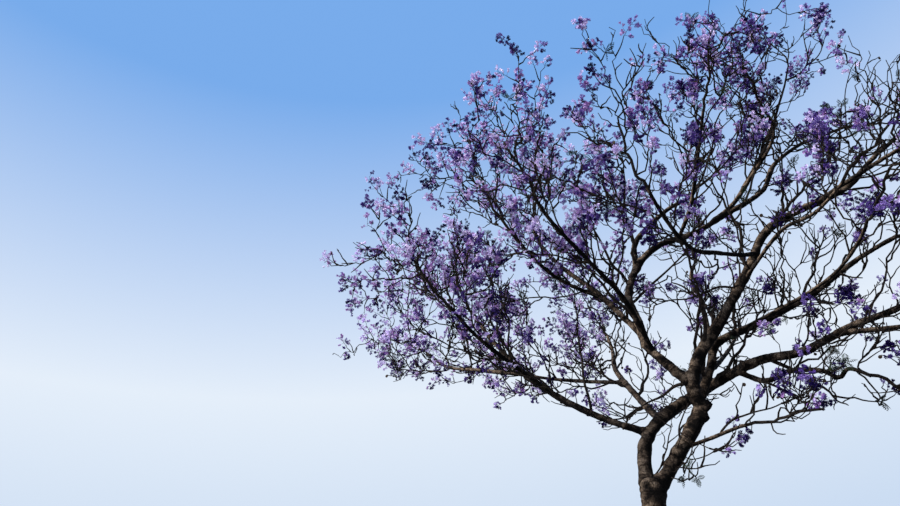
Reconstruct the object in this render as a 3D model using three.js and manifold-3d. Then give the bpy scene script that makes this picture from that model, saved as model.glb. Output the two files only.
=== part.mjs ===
// Jacaranda tree in blossom: a leaning trunk that forks into two stems, the boughs that they
// carry, and a mass of blossoming twigs on the tip of each bough.
// Millimetres, +Z up. The origin is the middle of the trunk's flat cut at ground level, and the
// crown leans towards +X, its open side.
import * as THREE from "three";
import { mergeVertices } from "three/addons/utils/BufferGeometryUtils.js";
import Module from "manifold-3d";

const wasm = await Module();
wasm.setup();

const METRE = 1000;
const GAP = 0.3; // between two solids that touch
const SAME_CORNER = 1e-3; // corners nearer than this are one

// Trunk, from its flat cut at the ground to its fork, in metres
const FORK = [0.3, 0.05, 4.42];
const TRUNK_BOW = [0.03, -0.02, 1.5];
const TRUNK_BOW_HIGH = [0.12, 0.02, 3.0];
const WAIST_RADIUS = 0.2;
const FORK_RADIUS = 0.16;
const FLARE_RADIUS = 0.19; // added at the ground
const FLARE_FADE = 0.3; // height over which the flare falls to a third
const FLARE_LOBES = 5;
const LOBE_DEPTH = 0.3; // share of the flare that swells and shrinks round the foot
const TRUNK_SIDES = 20;
const TRUNK_STEPS = 13;

// Limbs, in metres
const LIMB_SIDES = 7;
const LIMB_STEP = 0.58; // length of limb between two rings
const LEAST_STEPS = 3;
const TAPER_POWER = 1.6; // a limb thins slowly near its foot and faster near its tip
const TIP_RADIUS = 0.022; // where the limb would end if its mass did not take over
const LIMB_END = 0.86; // share of a limb's way at which its mass takes over

// Twigs and sprays of blossom, in metres
const REACH = 1.65; // radius of the space that one mass keeps to
const CENTRE_SHARE = 0.58; // where the middle of that space lies, in reaches beyond the bough's tip
const STEM_LENGTH = 0.62; // in reaches
const TWIG_COUNT = 5;
const TWIG_LENGTH = 0.56; // in reaches
const TWIG_SPREAD = 1.0; // radians between a twig and the stem
const LEAST_TURN = 0.75; // share of its spread that a twig turns away at least
const TURN_VARIATION = 0.5;
const TWIG_STAGGER = 0.17; // share of the stem between two twigs, from its end backwards
const SPRAY_COUNT = 3; // on each twig
const SPRAY_SPREAD = 0.75;
const SPRAY_STAGGER = 0.28;
const SPRAY_LENGTH = 0.85;
const SPRAY_WIDTH = 0.46;
const SPRAY_WAIST = 0.62; // share of a spray's length at which it is widest
const SPRAY_SPACING = 0.4;
const END_SHARE = 0.04; // how far from a twig's end the first thing on it is rooted
const THINNING = 0.7; // a twig's end against its foot
const NARROWING = 0.8; // a twig's foot against what carries it
const LIFT = 0.18; // how far a twig turns upwards
const LENGTH_VARIATION = 0.3;
const TRY_SHORTENING = 0.12;
const ROLL_VARIATION = 0.6;
const TWIG_SIDES = 3;
const TWIG_MARGIN = 0.03;
const TWIG_CHECKS = [0.25, 0.5, 0.75, 1]; // shares of a twig's length at which it needs room
const WOOD_SPACING = 0.12; // between the places on a limb that twigs keep clear of
const UPRIGHT = 0.9; // a heading's rise above which it counts as upright
const TRIES = 6;

// The stream of numbers that the twigs draw from
const SEED = 4201;
const STREAM_FACTOR = 1664525;
const STREAM_STEP = 1013904223;
const STREAM_RANGE = 2 ** 32;

const WOOD = { color: 0x5b4a3d, roughness: 0.9, metalness: 0 };
const BLOSSOM = { color: 0x8268b8, roughness: 0.8, metalness: 0 };

// Each limb grows from a place on another limb, named by its node and a share of its length, and
// passes its way points, in metres. A limb that bends round a wide gap is cut into several nodes,
// each named with the share of the limb's length at which it starts.
const LIMBS = [
  {
    nodes: [["stem_left", 0], ["stem_left_arch", 0.14], ["bough_low_right", 0.42]],
    from: ["trunk", 0.965],
    foot: 0.1,
    way: [
      [0.28, 0.1, 4.65], [0.44, 0.14, 5.15], [0.85, 0.22, 5.53], [1.65, 0.36, 5.95],
      [2.45, 0.05, 6.18], [3.0, -0.3, 6.1], [3.7, -0.65, 6.26], [4.4, -1.0, 6.35], [5.5, -1.5, 6.7],
    ],
  },
  {
    nodes: [["stem_right", 0], ["bough_high_right", 0.16]],
    from: ["trunk", 0.965],
    foot: 0.107,
    way: [
      [0.86, -0.05, 4.91], [1.28, -0.05, 5.42], [1.24, -0.17, 5.75], [1.45, -0.28, 6.2],
      [2.02, -0.35, 6.83], [2.6, -0.48, 7.53], [3.05, -0.6, 8.14], [3.5, -0.72, 8.38],
      [4.4, -1.08, 8.56], [5.0, -1.25, 9.0], [6.0, -1.65, 9.6],
    ],
  },
  {
    nodes: [["bough_left", 0], ["bough_crown", 0.33], ["bough_top_right", 0.66]],
    from: ["bough_high_right", 0.1],
    foot: 0.075,
    way: [
      [0.98, -0.1, 6.24], [0.81, 0, 6.62], [0.79, 0.06, 7.1], [0.79, 0.16, 7.7], [1.1, 0.2, 8.3],
      [1.6, 0.17, 8.7], [2.34, 0.05, 8.84], [3.1, -0.1, 9.3], [3.83, -0.3, 10.18],
      [4.35, -0.5, 10.75],
    ],
  },
  {
    nodes: [["bough_mid_right", 0]],
    from: ["stem_right", 0.78],
    foot: 0.075,
    way: [
      [1.45, 0.06, 5.76], [1.73, 0.1, 6.21], [1.97, 0.1, 6.6], [2.71, 0, 6.83],
      [3.54, -0.25, 7.09], [4.5, -0.55, 7.56], [5.8, -1.05, 7.95],
    ],
  },
  {
    nodes: [["bough_lowest_right", 0]],
    from: ["bough_low_right", 0.03],
    foot: 0.044,
    way: [
      [2.42, 0, 5.82], [2.77, -0.15, 5.87], [3.15, -0.3, 5.76], [3.31, -0.4, 5.58],
      [3.5, -0.47, 5.66], [3.75, -0.8, 5.2],
    ],
  },
  {
    nodes: [["bough_low_right_fork", 0]],
    from: ["bough_low_right", 0.56],
    foot: 0.04,
    way: [[4.27, -1.0, 5.99], [4.6, -1.35, 5.8], [5.0, -2.0, 5.75]],
  },
  {
    nodes: [["branch_low", 0]],
    from: ["stem_right", 0.62],
    foot: 0.028,
    way: [[1.27, -0.2, 4.95], [1.62, -0.45, 4.98], [1.85, -0.7, 4.93]],
  },
  {
    nodes: [["bough_high_right_fork", 0]],
    from: ["bough_high_right", 0.77],
    foot: 0.04,
    way: [[5.2, -1.55, 8.86], [5.5, -2.1, 8.6], [5.9, -2.8, 8.6]],
  },
  {
    nodes: [["bough_front_right", 0]],
    from: ["bough_high_right", 0.42],
    foot: 0.034,
    way: [[3.16, -0.9, 7.95], [3.5, -1.5, 7.85], [3.95, -2.3, 8.1]],
  },
  {
    nodes: [["bough_front_left", 0]],
    from: ["bough_high_right", 0.54],
    foot: 0.036,
    way: [
      [2.46, -0.8, 7.65], [1.93, -1.15, 7.5], [1.35, -1.6, 7.35], [0.85, -2.2, 7.7],
      [0.6, -2.6, 8.4],
    ],
  },
  {
    nodes: [["bough_top_left", 0]],
    from: ["bough_top_right", 0.55],
    foot: 0.036,
    way: [[4.0, -0.65, 10.3], [3.8, -1.1, 10.8]],
  },
  {
    nodes: [["bough_far_right", 0]],
    from: ["bough_crown", 0.95],
    foot: 0.05,
    way: [[3.64, -0.1, 9.46], [4.2, 0, 10.2], [5.13, 0, 10.75], [5.9, -0.2, 10.7]],
  },
  {
    nodes: [["bough_upper_front", 0]],
    from: ["bough_crown", 0.62],
    foot: 0.034,
    way: [[2.1, -0.5, 9.0], [2.2, -1.3, 9.5], [2.3, -2.2, 10.1]],
  },
  {
    nodes: [["bough_top_middle", 0]],
    from: ["bough_crown", 0.16],
    foot: 0.055,
    way: [[1.2, 0.3, 8.85], [1.6, 0.36, 9.3], [2.1, 0.4, 9.7], [2.65, 0.42, 10.0], [2.9, 0.5, 10.6]],
  },
  {
    nodes: [["bough_mid_right_low", 0]],
    from: ["bough_mid_right", 0.4],
    foot: 0.03,
    way: [[3.3, -0.7, 6.9], [3.6, -1.5, 6.95], [3.7, -2.5, 7.2]],
  },
  {
    nodes: [["bough_mid_right_back", 0]],
    from: ["bough_mid_right", 0.52],
    foot: 0.038,
    way: [[3.9, 0.3, 7.4], [4.4, 1.1, 7.8], [5.1, 2.0, 8.2]],
  },
  {
    nodes: [["bough_west", 0]],
    from: ["stem_left_arch", 0.04],
    foot: 0.056,
    way: [[-0.25, 0.3, 5.7], [-1.0, 0.5, 6.4], [-1.6, 0.6, 7.3], [-2.1, 0.75, 8.4]],
  },
  {
    nodes: [["bough_west_low", 0]],
    from: ["bough_west", 0.4],
    foot: 0.038,
    way: [[-1.4, 0.1, 6.6], [-2.0, -0.5, 6.95], [-2.5, -1.0, 7.5]],
  },
  {
    nodes: [["bough_west_back", 0]],
    from: ["bough_west", 0.6],
    foot: 0.038,
    way: [[-1.9, 1.2, 7.1], [-2.5, 1.7, 7.5], [-2.9, 2.1, 8.1]],
  },
  {
    nodes: [["bough_back", 0]],
    from: ["stem_left_arch", 0.2],
    foot: 0.06,
    way: [[0.7, 1.0, 6.2], [0.65, 1.8, 7.1], [0.85, 2.5, 7.9], [0.9, 3.0, 8.9]],
  },
  {
    nodes: [["bough_back_left", 0]],
    from: ["bough_back", 0.45],
    foot: 0.038,
    way: [[0, 2.3, 7.2], [-0.8, 2.7, 7.6], [-1.5, 3.0, 8.2]],
  },
  {
    nodes: [["bough_back_right", 0]],
    from: ["stem_left_arch", 0.72],
    foot: 0.06,
    way: [[1.9, 1.2, 6.5], [2.6, 2.0, 7.1], [3.3, 2.7, 7.8], [3.8, 3.2, 8.5]],
  },
  {
    nodes: [["bough_back_low", 0]],
    from: ["bough_back_right", 0.36],
    foot: 0.034,
    way: [[2.0, 2.2, 6.6], [2.1, 3.0, 6.7], [2.3, 3.5, 7.0]],
  },
  {
    nodes: [["bough_back_high", 0]],
    from: ["bough_back_right", 0.55],
    foot: 0.038,
    way: [[2.8, 2.2, 8.3], [2.75, 2.2, 9.1], [3.1, 2.4, 9.9]],
  },
  {
    nodes: [["bough_upper_left", 0]],
    from: ["bough_left", 0.5],
    foot: 0.052,
    way: [[0.3, 0.3, 7.9], [-0.2, 0.6, 8.8], [-0.5, 0.7, 9.6], [-0.4, 0.8, 10.4]],
  },
  {
    nodes: [["bough_inner_left", 0]],
    from: ["bough_upper_left", 0.3],
    foot: 0.034,
    way: [[-0.4, 0.1, 8.2], [-1.0, -0.3, 8.8], [-1.4, -0.5, 9.6]],
  },
  {
    nodes: [["bough_left_front", 0]],
    from: ["bough_left", 0.34],
    foot: 0.04,
    way: [[0.45, -0.7, 7.1], [-0.1, -1.3, 7.5], [-0.7, -1.9, 8.0], [-1.0, -2.2, 8.7]],
  },
];

const built = new Map(); // limb part by node name
const order = []; // limb parts in the order in which they are made

function metres([x, y, z]) {
  return new THREE.Vector3(x, y, z).multiplyScalar(METRE);
}

// A repeatable stream of numbers between 0 and 1
function seeded(seed) {
  let state = seed >>> 0;
  return () => {
    state = (Math.imul(state, STREAM_FACTOR) + STREAM_STEP) >>> 0;
    return state / STREAM_RANGE;
  };
}

function curveThrough(points) {
  return new THREE.CatmullRomCurve3(points, false, "catmullrom", 0.5);
}

// The level axis that a curve's chord leans to least, which keeps its rings from twisting
function steadyAxis(curve) {
  const chord = curve.getPoint(1).sub(curve.getPoint(0));
  const alongX = Math.abs(chord.x) > Math.abs(chord.y);
  return alongX ? new THREE.Vector3(0, 1, 0) : new THREE.Vector3(1, 0, 0);
}

// A closed tapering tube along part of a curve, thicker and longer by an extra margin
function bentTube({ curve, start, end, radiusAt, sides, steps, flatFoot }, extra = 0) {
  const geometry = new THREE.CylinderGeometry(1, 1, 1, sides, steps);
  const positions = geometry.getAttribute("position");
  const axis = steadyAxis(curve);
  const widening = extra / Math.cos(Math.PI / sides);
  for (let i = 0; i < positions.count; i += 1) {
    const x = positions.getX(i);
    const z = positions.getZ(i);
    const share = Math.min(1, Math.max(0, positions.getY(i) + 0.5));
    const place = THREE.MathUtils.lerp(start, end, share);
    const heading = curve.getTangentAt(place);
    const side = new THREE.Vector3().crossVectors(heading, axis).normalize();
    const front = new THREE.Vector3().crossVectors(side, heading);
    const radius = radiusAt(place, Math.atan2(z, x)) + widening;
    const point = curve.getPointAt(place);
    if (share === 0) point.addScaledVector(heading, -extra);
    if (share === 1) point.addScaledVector(heading, extra);
    point.addScaledVector(side, x * radius).addScaledVector(front, z * radius);
    if (share === 0 && flatFoot) point.z = 0;
    positions.setXYZ(i, point.x, point.y, point.z);
  }
  return geometry;
}

function solidOf(geometry) {
  const bare = geometry.clone();
  bare.deleteAttribute("normal");
  bare.deleteAttribute("uv");
  const closed = mergeVertices(bare, SAME_CORNER);
  return new wasm.Manifold(new wasm.Mesh({
    numProp: 3,
    vertProperties: new Float32Array(closed.getAttribute("position").array),
    triVerts: new Uint32Array(closed.index.array),
  }));
}

function geometryOf(solid) {
  const mesh = solid.getMesh();
  const geometry = new THREE.BufferGeometry();
  geometry.setAttribute("position", new THREE.BufferAttribute(mesh.vertProperties, 3));
  geometry.setIndex(new THREE.BufferAttribute(mesh.triVerts, 1));
  geometry.computeVertexNormals();
  return geometry;
}

// The one body that matters: scraps and sealed hollows that a cut or join leaves are dropped
function largestPiece(solid) {
  const pieces = solid.decompose();
  return pieces.reduce((best, piece) => (piece.volume() > best.volume() ? piece : best));
}

function trunkPart() {
  const points = [[0, 0, 0], TRUNK_BOW, TRUNK_BOW_HIGH, FORK].map(metres);
  const height = FORK[2];
  const radiusAt = (place, angle) => {
    const level = place * height;
    const flare = FLARE_RADIUS * Math.exp(-level / FLARE_FADE);
    const lobe = 1 + LOBE_DEPTH * Math.cos(FLARE_LOBES * angle);
    const shaft = THREE.MathUtils.lerp(WAIST_RADIUS, FORK_RADIUS, place);
    return (shaft + flare * lobe) * METRE;
  };
  const shape = { sides: TRUNK_SIDES, steps: TRUNK_STEPS, flatFoot: true };
  return { name: "trunk", curve: curveThrough(points), start: 0, end: 1, radiusAt, ...shape };
}

// The parts of one limb, which share a curve and stand a gap apart where it is split
function limbParts({ nodes, from, foot, tip = TIP_RADIUS, way }) {
  const parent = built.get(from[0]);
  const origin = parent.curve.getPointAt(THREE.MathUtils.lerp(parent.start, parent.end, from[1]));
  const curve = curveThrough([origin, ...way.map(metres)]);
  const length = curve.getLength();
  const radiusAt = (place) => {
    return THREE.MathUtils.lerp(foot, tip, Math.pow(place, TAPER_POWER)) * METRE;
  };
  return nodes.map(([name, share], index) => {
    const start = index === 0 ? 0 : share + GAP / length;
    const end = index === nodes.length - 1 ? LIMB_END : nodes[index + 1][1];
    const steps = Math.round(((end - start) * length) / (LIMB_STEP * METRE));
    const shape = { sides: LIMB_SIDES, steps: Math.max(LEAST_STEPS, steps) };
    return { name, path: nodes, curve, start, end, radiusAt, ...shape };
  });
}

// Cuts a limb clear of the limbs made before it, apart from the rest of its own curve
function cutClear(part) {
  let solid = solidOf(bentTube(part));
  for (const other of order) {
    if (other.path && other.path === part.path) continue;
    if (boxesApart(part.box, other.box)) continue;
    solid = solid.subtract(solidOf(bentTube(other, GAP)));
  }
  return largestPiece(solid);
}

function boxesApart(a, b) {
  return !a.intersectsBox(b);
}

function addPart(part) {
  const tube = bentTube(part);
  tube.computeBoundingBox();
  part.box = tube.boundingBox;
  part.solid = part.name === "trunk" ? solidOf(tube) : cutClear(part);
  built.set(part.name, part);
  order.push(part);
}

// Points along every limb, with its radius there, for keeping twigs clear of the wood
function woodPoints() {
  return order.flatMap(({ curve, start, end, radiusAt }) => {
    const count = Math.ceil(((end - start) * curve.getLength()) / (WOOD_SPACING * METRE));
    return Array.from({ length: count + 1 }, (_, i) => {
      const place = THREE.MathUtils.lerp(start, end, i / count);
      return { point: curve.getPointAt(place), radius: radiusAt(place, 0) };
    });
  });
}

// The space round the tip of one bough, which only the mass on that tip may fill
function spaceOf(part) {
  const tip = part.curve.getPointAt(part.end);
  const heading = part.curve.getTangentAt(part.end);
  const centre = tip.clone().addScaledVector(heading, REACH * CENTRE_SHARE * METRE);
  return { part, tip, heading, centre, radius: part.radiusAt(part.end) };
}

function hasRoom(point, margin, space, spaces, wood) {
  const own = point.distanceTo(space.centre);
  if (own + margin > REACH * METRE) return false;
  for (const other of spaces) {
    if (other === space) continue;
    const apart = space.centre.distanceTo(other.centre);
    const beyond = (point.distanceToSquared(other.centre) - own * own) / (2 * apart);
    if (beyond < margin) return false;
  }
  return wood.every((spot) => spot.point.distanceTo(point) > spot.radius + margin);
}

// A heading turned away from another by an angle, towards a side told by a roll
function turned(heading, angle, roll) {
  const level = Math.abs(heading.z) < UPRIGHT;
  const helper = level ? new THREE.Vector3(0, 0, 1) : new THREE.Vector3(1, 0, 0);
  const side = new THREE.Vector3().crossVectors(heading, helper).normalize();
  const front = new THREE.Vector3().crossVectors(side, heading);
  const away = side.multiplyScalar(Math.cos(roll)).addScaledVector(front, Math.sin(roll));
  return heading.clone().multiplyScalar(Math.cos(angle)).addScaledVector(away, Math.sin(angle));
}

function placedAlong(geometry, middle, heading) {
  const turn = new THREE.Quaternion().setFromUnitVectors(new THREE.Vector3(0, 1, 0), heading);
  geometry.applyQuaternion(turn);
  geometry.translate(middle.x, middle.y, middle.z);
  return solidOf(geometry);
}

function twigSolid(from, to, footRadius, endRadius) {
  const heading = to.clone().sub(from);
  const length = heading.length();
  const geometry = new THREE.CylinderGeometry(endRadius, footRadius, length, TWIG_SIDES, 1);
  return placedAlong(geometry, from.clone().lerp(to, 0.5), heading.divideScalar(length));
}

// A spray is a slender stalk that swells into its cluster of blossom and closes over it
function spraySolid(foot, heading) {
  const geometry = new THREE.OctahedronGeometry(METRE, 0);
  geometry.translate(0, METRE, 0);
  const positions = geometry.getAttribute("position");
  for (let i = 0; i < positions.count; i += 1) {
    const share = positions.getY(i) / (2 * METRE);
    const along = share < 0.5 ? share * 2 * SPRAY_WAIST : 1 - (1 - share) * 2 * (1 - SPRAY_WAIST);
    positions.setY(i, along * SPRAY_LENGTH * METRE);
  }
  geometry.scale(SPRAY_WIDTH / 2, 1, SPRAY_WIDTH / 2);
  return placedAlong(geometry, foot, heading);
}

// The twigs and sprays of one mass, by a seeded rule: twigs leave the stem from its end
// backwards, sprays leave each twig in the same way, and what has no room is skipped
function growMass(space, spaces, wood, seed) {
  const next = seeded(seed);
  const solids = [];
  const hearts = []; // where each spray is widest
  const twigRadius = space.radius * THINNING * NARROWING;

  function isFree(point, margin) {
    return hasRoom(point, margin * METRE, space, spaces, wood);
  }

  // Tries a few headings for each of the things that leave one twig
  function fork({ foot, end, heading, count, spread, stagger, length, add }) {
    const firstRoll = next() * 2 * Math.PI;
    for (let k = 0; k < count; k += 1) {
      const origin = end.clone().lerp(foot, END_SHARE + stagger * k);
      for (let attempt = 0; attempt < TRIES; attempt += 1) {
        const roll = firstRoll + ((k + ROLL_VARIATION * (next() - 0.5)) * 2 * Math.PI) / count;
        const angle = spread * (LEAST_TURN + TURN_VARIATION * next());
        const stretch = 1 + LENGTH_VARIATION * (next() - 0.5) - TRY_SHORTENING * attempt;
        const way = turned(heading, angle, roll);
        way.z += LIFT;
        if (add(origin, way.normalize(), length * METRE * stretch)) break;
      }
    }
  }

  function addSpray(foot, heading) {
    const heart = foot.clone().addScaledVector(heading, SPRAY_WAIST * SPRAY_LENGTH * METRE);
    const tip = foot.clone().addScaledVector(heading, SPRAY_LENGTH * METRE);
    const neck = foot.clone().lerp(heart, 0.5);
    if (!isFree(heart, SPRAY_WIDTH / 2) || !isFree(tip, TWIG_MARGIN)) return false;
    if (!isFree(neck, SPRAY_WIDTH / 4)) return false;
    if (hearts.some((other) => other.distanceTo(heart) < SPRAY_SPACING * METRE)) return false;
    hearts.push(heart);
    solids.push(spraySolid(foot, heading));
    return true;
  }

  function addTwig(foot, heading, length) {
    const end = foot.clone().addScaledVector(heading, length);
    const hasWay = TWIG_CHECKS.every((share) => isFree(foot.clone().lerp(end, share), TWIG_MARGIN));
    if (!hasWay) return false;
    solids.push(twigSolid(foot, end, twigRadius, twigRadius * THINNING));
    fork({
      foot, end, heading, count: SPRAY_COUNT, spread: SPRAY_SPREAD, stagger: SPRAY_STAGGER,
      length: SPRAY_LENGTH, add: addSpray,
    });
    return true;
  }

  const foot = space.tip.clone().addScaledVector(space.heading, GAP);
  const end = foot.clone().addScaledVector(space.heading, STEM_LENGTH * REACH * METRE);
  solids.push(twigSolid(foot, end, space.radius, space.radius * THINNING));
  fork({
    foot, end, heading: space.heading, count: TWIG_COUNT, spread: TWIG_SPREAD,
    stagger: TWIG_STAGGER, length: TWIG_LENGTH * REACH, add: addTwig,
  });
  return largestPiece(wasm.Manifold.union(solids));
}

function named(name, solid, finish) {
  const mesh = new THREE.Mesh(geometryOf(solid), new THREE.MeshStandardMaterial(finish));
  mesh.name = name;
  return mesh;
}

addPart(trunkPart());
for (const limb of LIMBS) limbParts(limb).forEach(addPart);

const tree = new THREE.Group();
for (const part of order) tree.add(named(part.name, part.solid, WOOD));

const wood = woodPoints();
const spaces = order.filter((part) => part.path && part.end === LIMB_END).map(spaceOf);
spaces.forEach((space, index) => {
  const solid = growMass(space, spaces, wood, SEED * (index + 1));
  tree.add(named(`blossom_${space.part.name}`, solid, BLOSSOM));
});

export default tree;
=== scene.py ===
import math

import bpy
import numpy as np
from mathutils import Matrix, Vector, noise


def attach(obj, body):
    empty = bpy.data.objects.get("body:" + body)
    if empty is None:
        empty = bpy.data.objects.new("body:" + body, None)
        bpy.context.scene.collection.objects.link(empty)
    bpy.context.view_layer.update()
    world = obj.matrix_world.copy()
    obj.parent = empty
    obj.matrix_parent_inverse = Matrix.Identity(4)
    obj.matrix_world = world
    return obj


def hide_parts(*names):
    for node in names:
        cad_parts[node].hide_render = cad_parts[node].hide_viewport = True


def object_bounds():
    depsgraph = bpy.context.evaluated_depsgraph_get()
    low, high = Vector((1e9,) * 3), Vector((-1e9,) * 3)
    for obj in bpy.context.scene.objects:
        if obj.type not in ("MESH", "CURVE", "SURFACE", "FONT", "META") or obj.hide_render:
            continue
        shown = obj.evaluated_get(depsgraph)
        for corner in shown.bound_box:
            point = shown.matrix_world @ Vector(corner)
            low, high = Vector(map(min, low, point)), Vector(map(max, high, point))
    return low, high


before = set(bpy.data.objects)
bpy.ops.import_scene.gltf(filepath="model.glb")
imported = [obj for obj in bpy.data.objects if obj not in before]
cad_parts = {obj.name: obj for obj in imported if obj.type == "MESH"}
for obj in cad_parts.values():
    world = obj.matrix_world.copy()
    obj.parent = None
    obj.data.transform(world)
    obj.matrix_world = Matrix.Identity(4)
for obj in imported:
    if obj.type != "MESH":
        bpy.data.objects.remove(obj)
CAD_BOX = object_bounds()
UP = np.array([0.0, 0, 1])

# Trunk, as the source has it
FORK = (0.3, 0.05, 4.42)
TRUNK_WAY = [(0, 0, 0), (0.03, -0.02, 1.5), (0.12, 0.02, 3.0), FORK]
WAIST_RADIUS = 0.2
FORK_RADIUS = 0.16
FLARE_RADIUS = 0.19
FLARE_FADE = 0.3
FLARE_LOBES = 5
LOBE_DEPTH = 0.3

# Limbs, stems, twigs and sprays, as the source has them
TAPER_POWER = 1.6
TIP_RADIUS = 0.022
LIMB_END = 0.86
GAP = 0.0003
REACH = 1.65
CENTRE_SHARE = 0.58
STEM_LENGTH = 0.62 * REACH
TWIG_COUNT = 5
TWIG_LENGTH = 0.56 * REACH
TWIG_SPREAD = 1.0
LEAST_TURN = 0.75
TURN_VARIATION = 0.5
TWIG_STAGGER = 0.17
SPRAY_COUNT = 3
SPRAY_SPREAD = 0.75
SPRAY_STAGGER = 0.28
SPRAY_LENGTH = 0.85
SPRAY_WIDTH = 0.46
SPRAY_WAIST = 0.62
SPRAY_SPACING = 0.4
END_SHARE = 0.04
THINNING = 0.7
NARROWING = 0.8
LIFT = 0.18
LENGTH_VARIATION = 0.3
TRY_SHORTENING = 0.12
ROLL_VARIATION = 0.6
TWIG_MARGIN = 0.03
TWIG_CHECKS = (0.25, 0.5, 0.75, 1)
STEM_ROOT = 0.03  # of a stem, inside its limb
WOOD_SPACING = 0.12
UPRIGHT = 0.9
TRIES = 6

# The stream of numbers that the source's twigs draw from
SEED = 4201
STREAM_FACTOR = 1664525
STREAM_STEP = 1013904223
STREAM_RANGE = 2**32

# Light, sky and floor
SUN_FROM = (-0.8, -0.45, 0.75)
SUN_STRENGTH, SUN_WIDTH, SUN_COLOUR = 5.5, math.radians(5), (1, 0.95, 0.88)
SKY_TONES = ((0.2, (0.6, 0.72, 0.89)), (0.42, (0.78, 0.86, 0.96)), (0.76, (0.19, 0.41, 0.83)))
FLOOR_SIZE = 1600
FLOOR_COLOUR = (0.26, 0.26, 0.26, 1)

# Bark
TRUNK_SIDES = 112
TRUNK_RING = 0.019
LIMB_SIDES = 20
LIMB_RING = 0.036
DOME_RINGS = 7  # that close the trunk between its two stems
DOME_HEIGHT = 0.14
COLLAR_SHARE = 1.15  # width of the rounding where a limb leaves another, in radii of its foot
COLLAR_MARGIN, COLLAR_REACH = 0.12, 3  # how far it goes: a length, and radii of the foot
CARRIER_MARGIN = 0.2  # past that, to which the other limb's line counts
COLLAR_SPACING = 0.012
COLLAR_ROUNDS = 4
GRAIN_STEP = 10  # between the grains of two limbs, more than a limb's length
# Waves of the bark: their scale, and how far they are drawn out along the limb
SWELLINGS = (3.1, 1.6)
LUMPS = (9, 1)
CREASES = (4.5, 0.28)
RIDGES = (34, 4.5)
PLATES = (62, 2.6)
LUMP_START, PLATE_START, CREASE_START = 20, 5, 9  # places in the noise
# Their depths, as shares of the radius or in metres on thick wood and on other wood
SWELLING_DEPTH, LUMP_DEPTH, CREASE_DEPTH = 0.14, 0.12, 0.09
RIDGE_DEPTHS = (0.0075, 0.0034)
RIDGE_LEVEL, PLATE_SHARE, CREASE_SHARPNESS = 0.75, 0.4, 8
THICK = 0.12
# Branch scars: shares of the limb, and heights and widths in its radii
KNOBS_PER_METRE = 1.7
KNOB_PLACES, KNOB_HEIGHTS, KNOB_WIDTHS = (0.08, 0.8), (0.12, 0.4), (0.3, 0.65)
SCAR_TRIES = 200  # places along a limb among which a told scar finds its own
# Painted light: bark on the side that faces the sun is paler, and on the side away from it darker,
# painted shade; more so high up
PAINTED_LIGHT_SIDE = (-0.75, -0.35, 0.55)
PAINTED_LIGHT_HEIGHTS, PAINTED_LIGHT_GAIN, PAINTED_LIGHT_LEVEL = (5.5, 7.5), (0.15, 0.25), -0.055
# Tones, each at a place on its scale
# Bark plates run from near black, reached on the side away from the sun as painted shade, to tan,
# reached on the sunward side as painted light, with random patches between
PLATE_TONES = ((0.34, (0.002, 0.0017, 0.0018)), (0.47, (0.01, 0.0075, 0.0065)),
               (0.56, (0.08, 0.058, 0.044)), (0.68, (0.28, 0.21, 0.155)))
WRINKLE_TONES = ((0.36, (0.16, 0.14, 0.13)), (0.5, (1, 1, 1)))
FURROW_TONES = ((0, (0.25, 0.22, 0.2)), (0.13, (1, 1, 1)))
SPECKLE_TONES = ((0.3, (0.62, 0.6, 0.58)), (0.7, (1.25, 1.22, 1.15)))

# Blossom: panicles with branchlets and flowers on them. A range of counts leaves out its end.
SPRAY_CHANCE, BRANCH_CHANCE, SPUR_CHANCE = 0.95, 0.7, 0.6
PANICLE_LENGTH = 0.25
PANICLE_MIDDLE = 0.12  # from the end that bears it
VIGOURS = (0.6, 1.2)
BRANCHLETS = (6, 11)
BRANCHLET_LENGTHS, BRANCHLET_SPREADS = (0.05, 0.13), (0.7, 1.4)
FLOWERS = (2, 6)
FLOWER_SIZES = (0.034, 0.05)
FLOWER_STAGGER, FLOWER_SPREADS, FLOWER_DROOP = 0.7, (0.3, 1.2), 0.25
STALK_RADIUS = 0.0035
PETALS = 5
PETAL_HALF_WIDTH = math.radians(27)
MOUTH_RADIUS = 0.52  # of a flower one metre long
# Shades from deep to pale, dealt out as lit and shaded copies of the blossom colour, painted light
# and painted shade; mauve is a pinker hue
SHADES = {
    "blossom_deep": (0.01, 0.003, 0.062),
    "blossom_violet": (0.08, 0.042, 0.23),
    "blossom_lilac": (0.27, 0.18, 0.51),
    "blossom_mauve": (0.43, 0.25, 0.55),
    "blossom_pale": (0.78, 0.67, 0.95),
}
# A branchlet's tone chooses its shade, partly at random and partly as painted light and shade:
# paler towards the sun, deeper in the shaded lower right and in the cores of thick clouds. Tones at
# which the shades change, and what makes the tone
TONE_STEPS = (1.15, 2.1, 3.1)
# The cloud term paints shade in the cores of thick clouds of blossom
MEAN_TONE, SUN_TONE, SHADE_TONE, CLOUD_SHADE_TONE = 2.12, 1.2, -0.9, -0.5
PANICLE_TONE, BRANCHLET_TONE = 0.9, 0.5
SHADED_FROM, SHADED_UNDER = (1, 4), (6, 9)  # along X and up Z
MAUVE_PLACES, MAUVE_CHANCES = (-2.5, 2.5), (0.75, 0.15)  # along X

# Leaves and seed pods, shaped at one metre long
POD_CHANCE, LEAF_CHANCE = 0.1, 0.04
FRONDS = 6
FROND_SIZES = (0.08, 0.16)
LEAFLET_PAIRS = 6
LEAFLET_LENGTH, LEAFLET_HALF_WIDTH = 0.34, 0.07
POD_SIDES = 8
POD_HALF_THICKNESS = 0.15
POD_SIZES = (0.045, 0.065)

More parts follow.
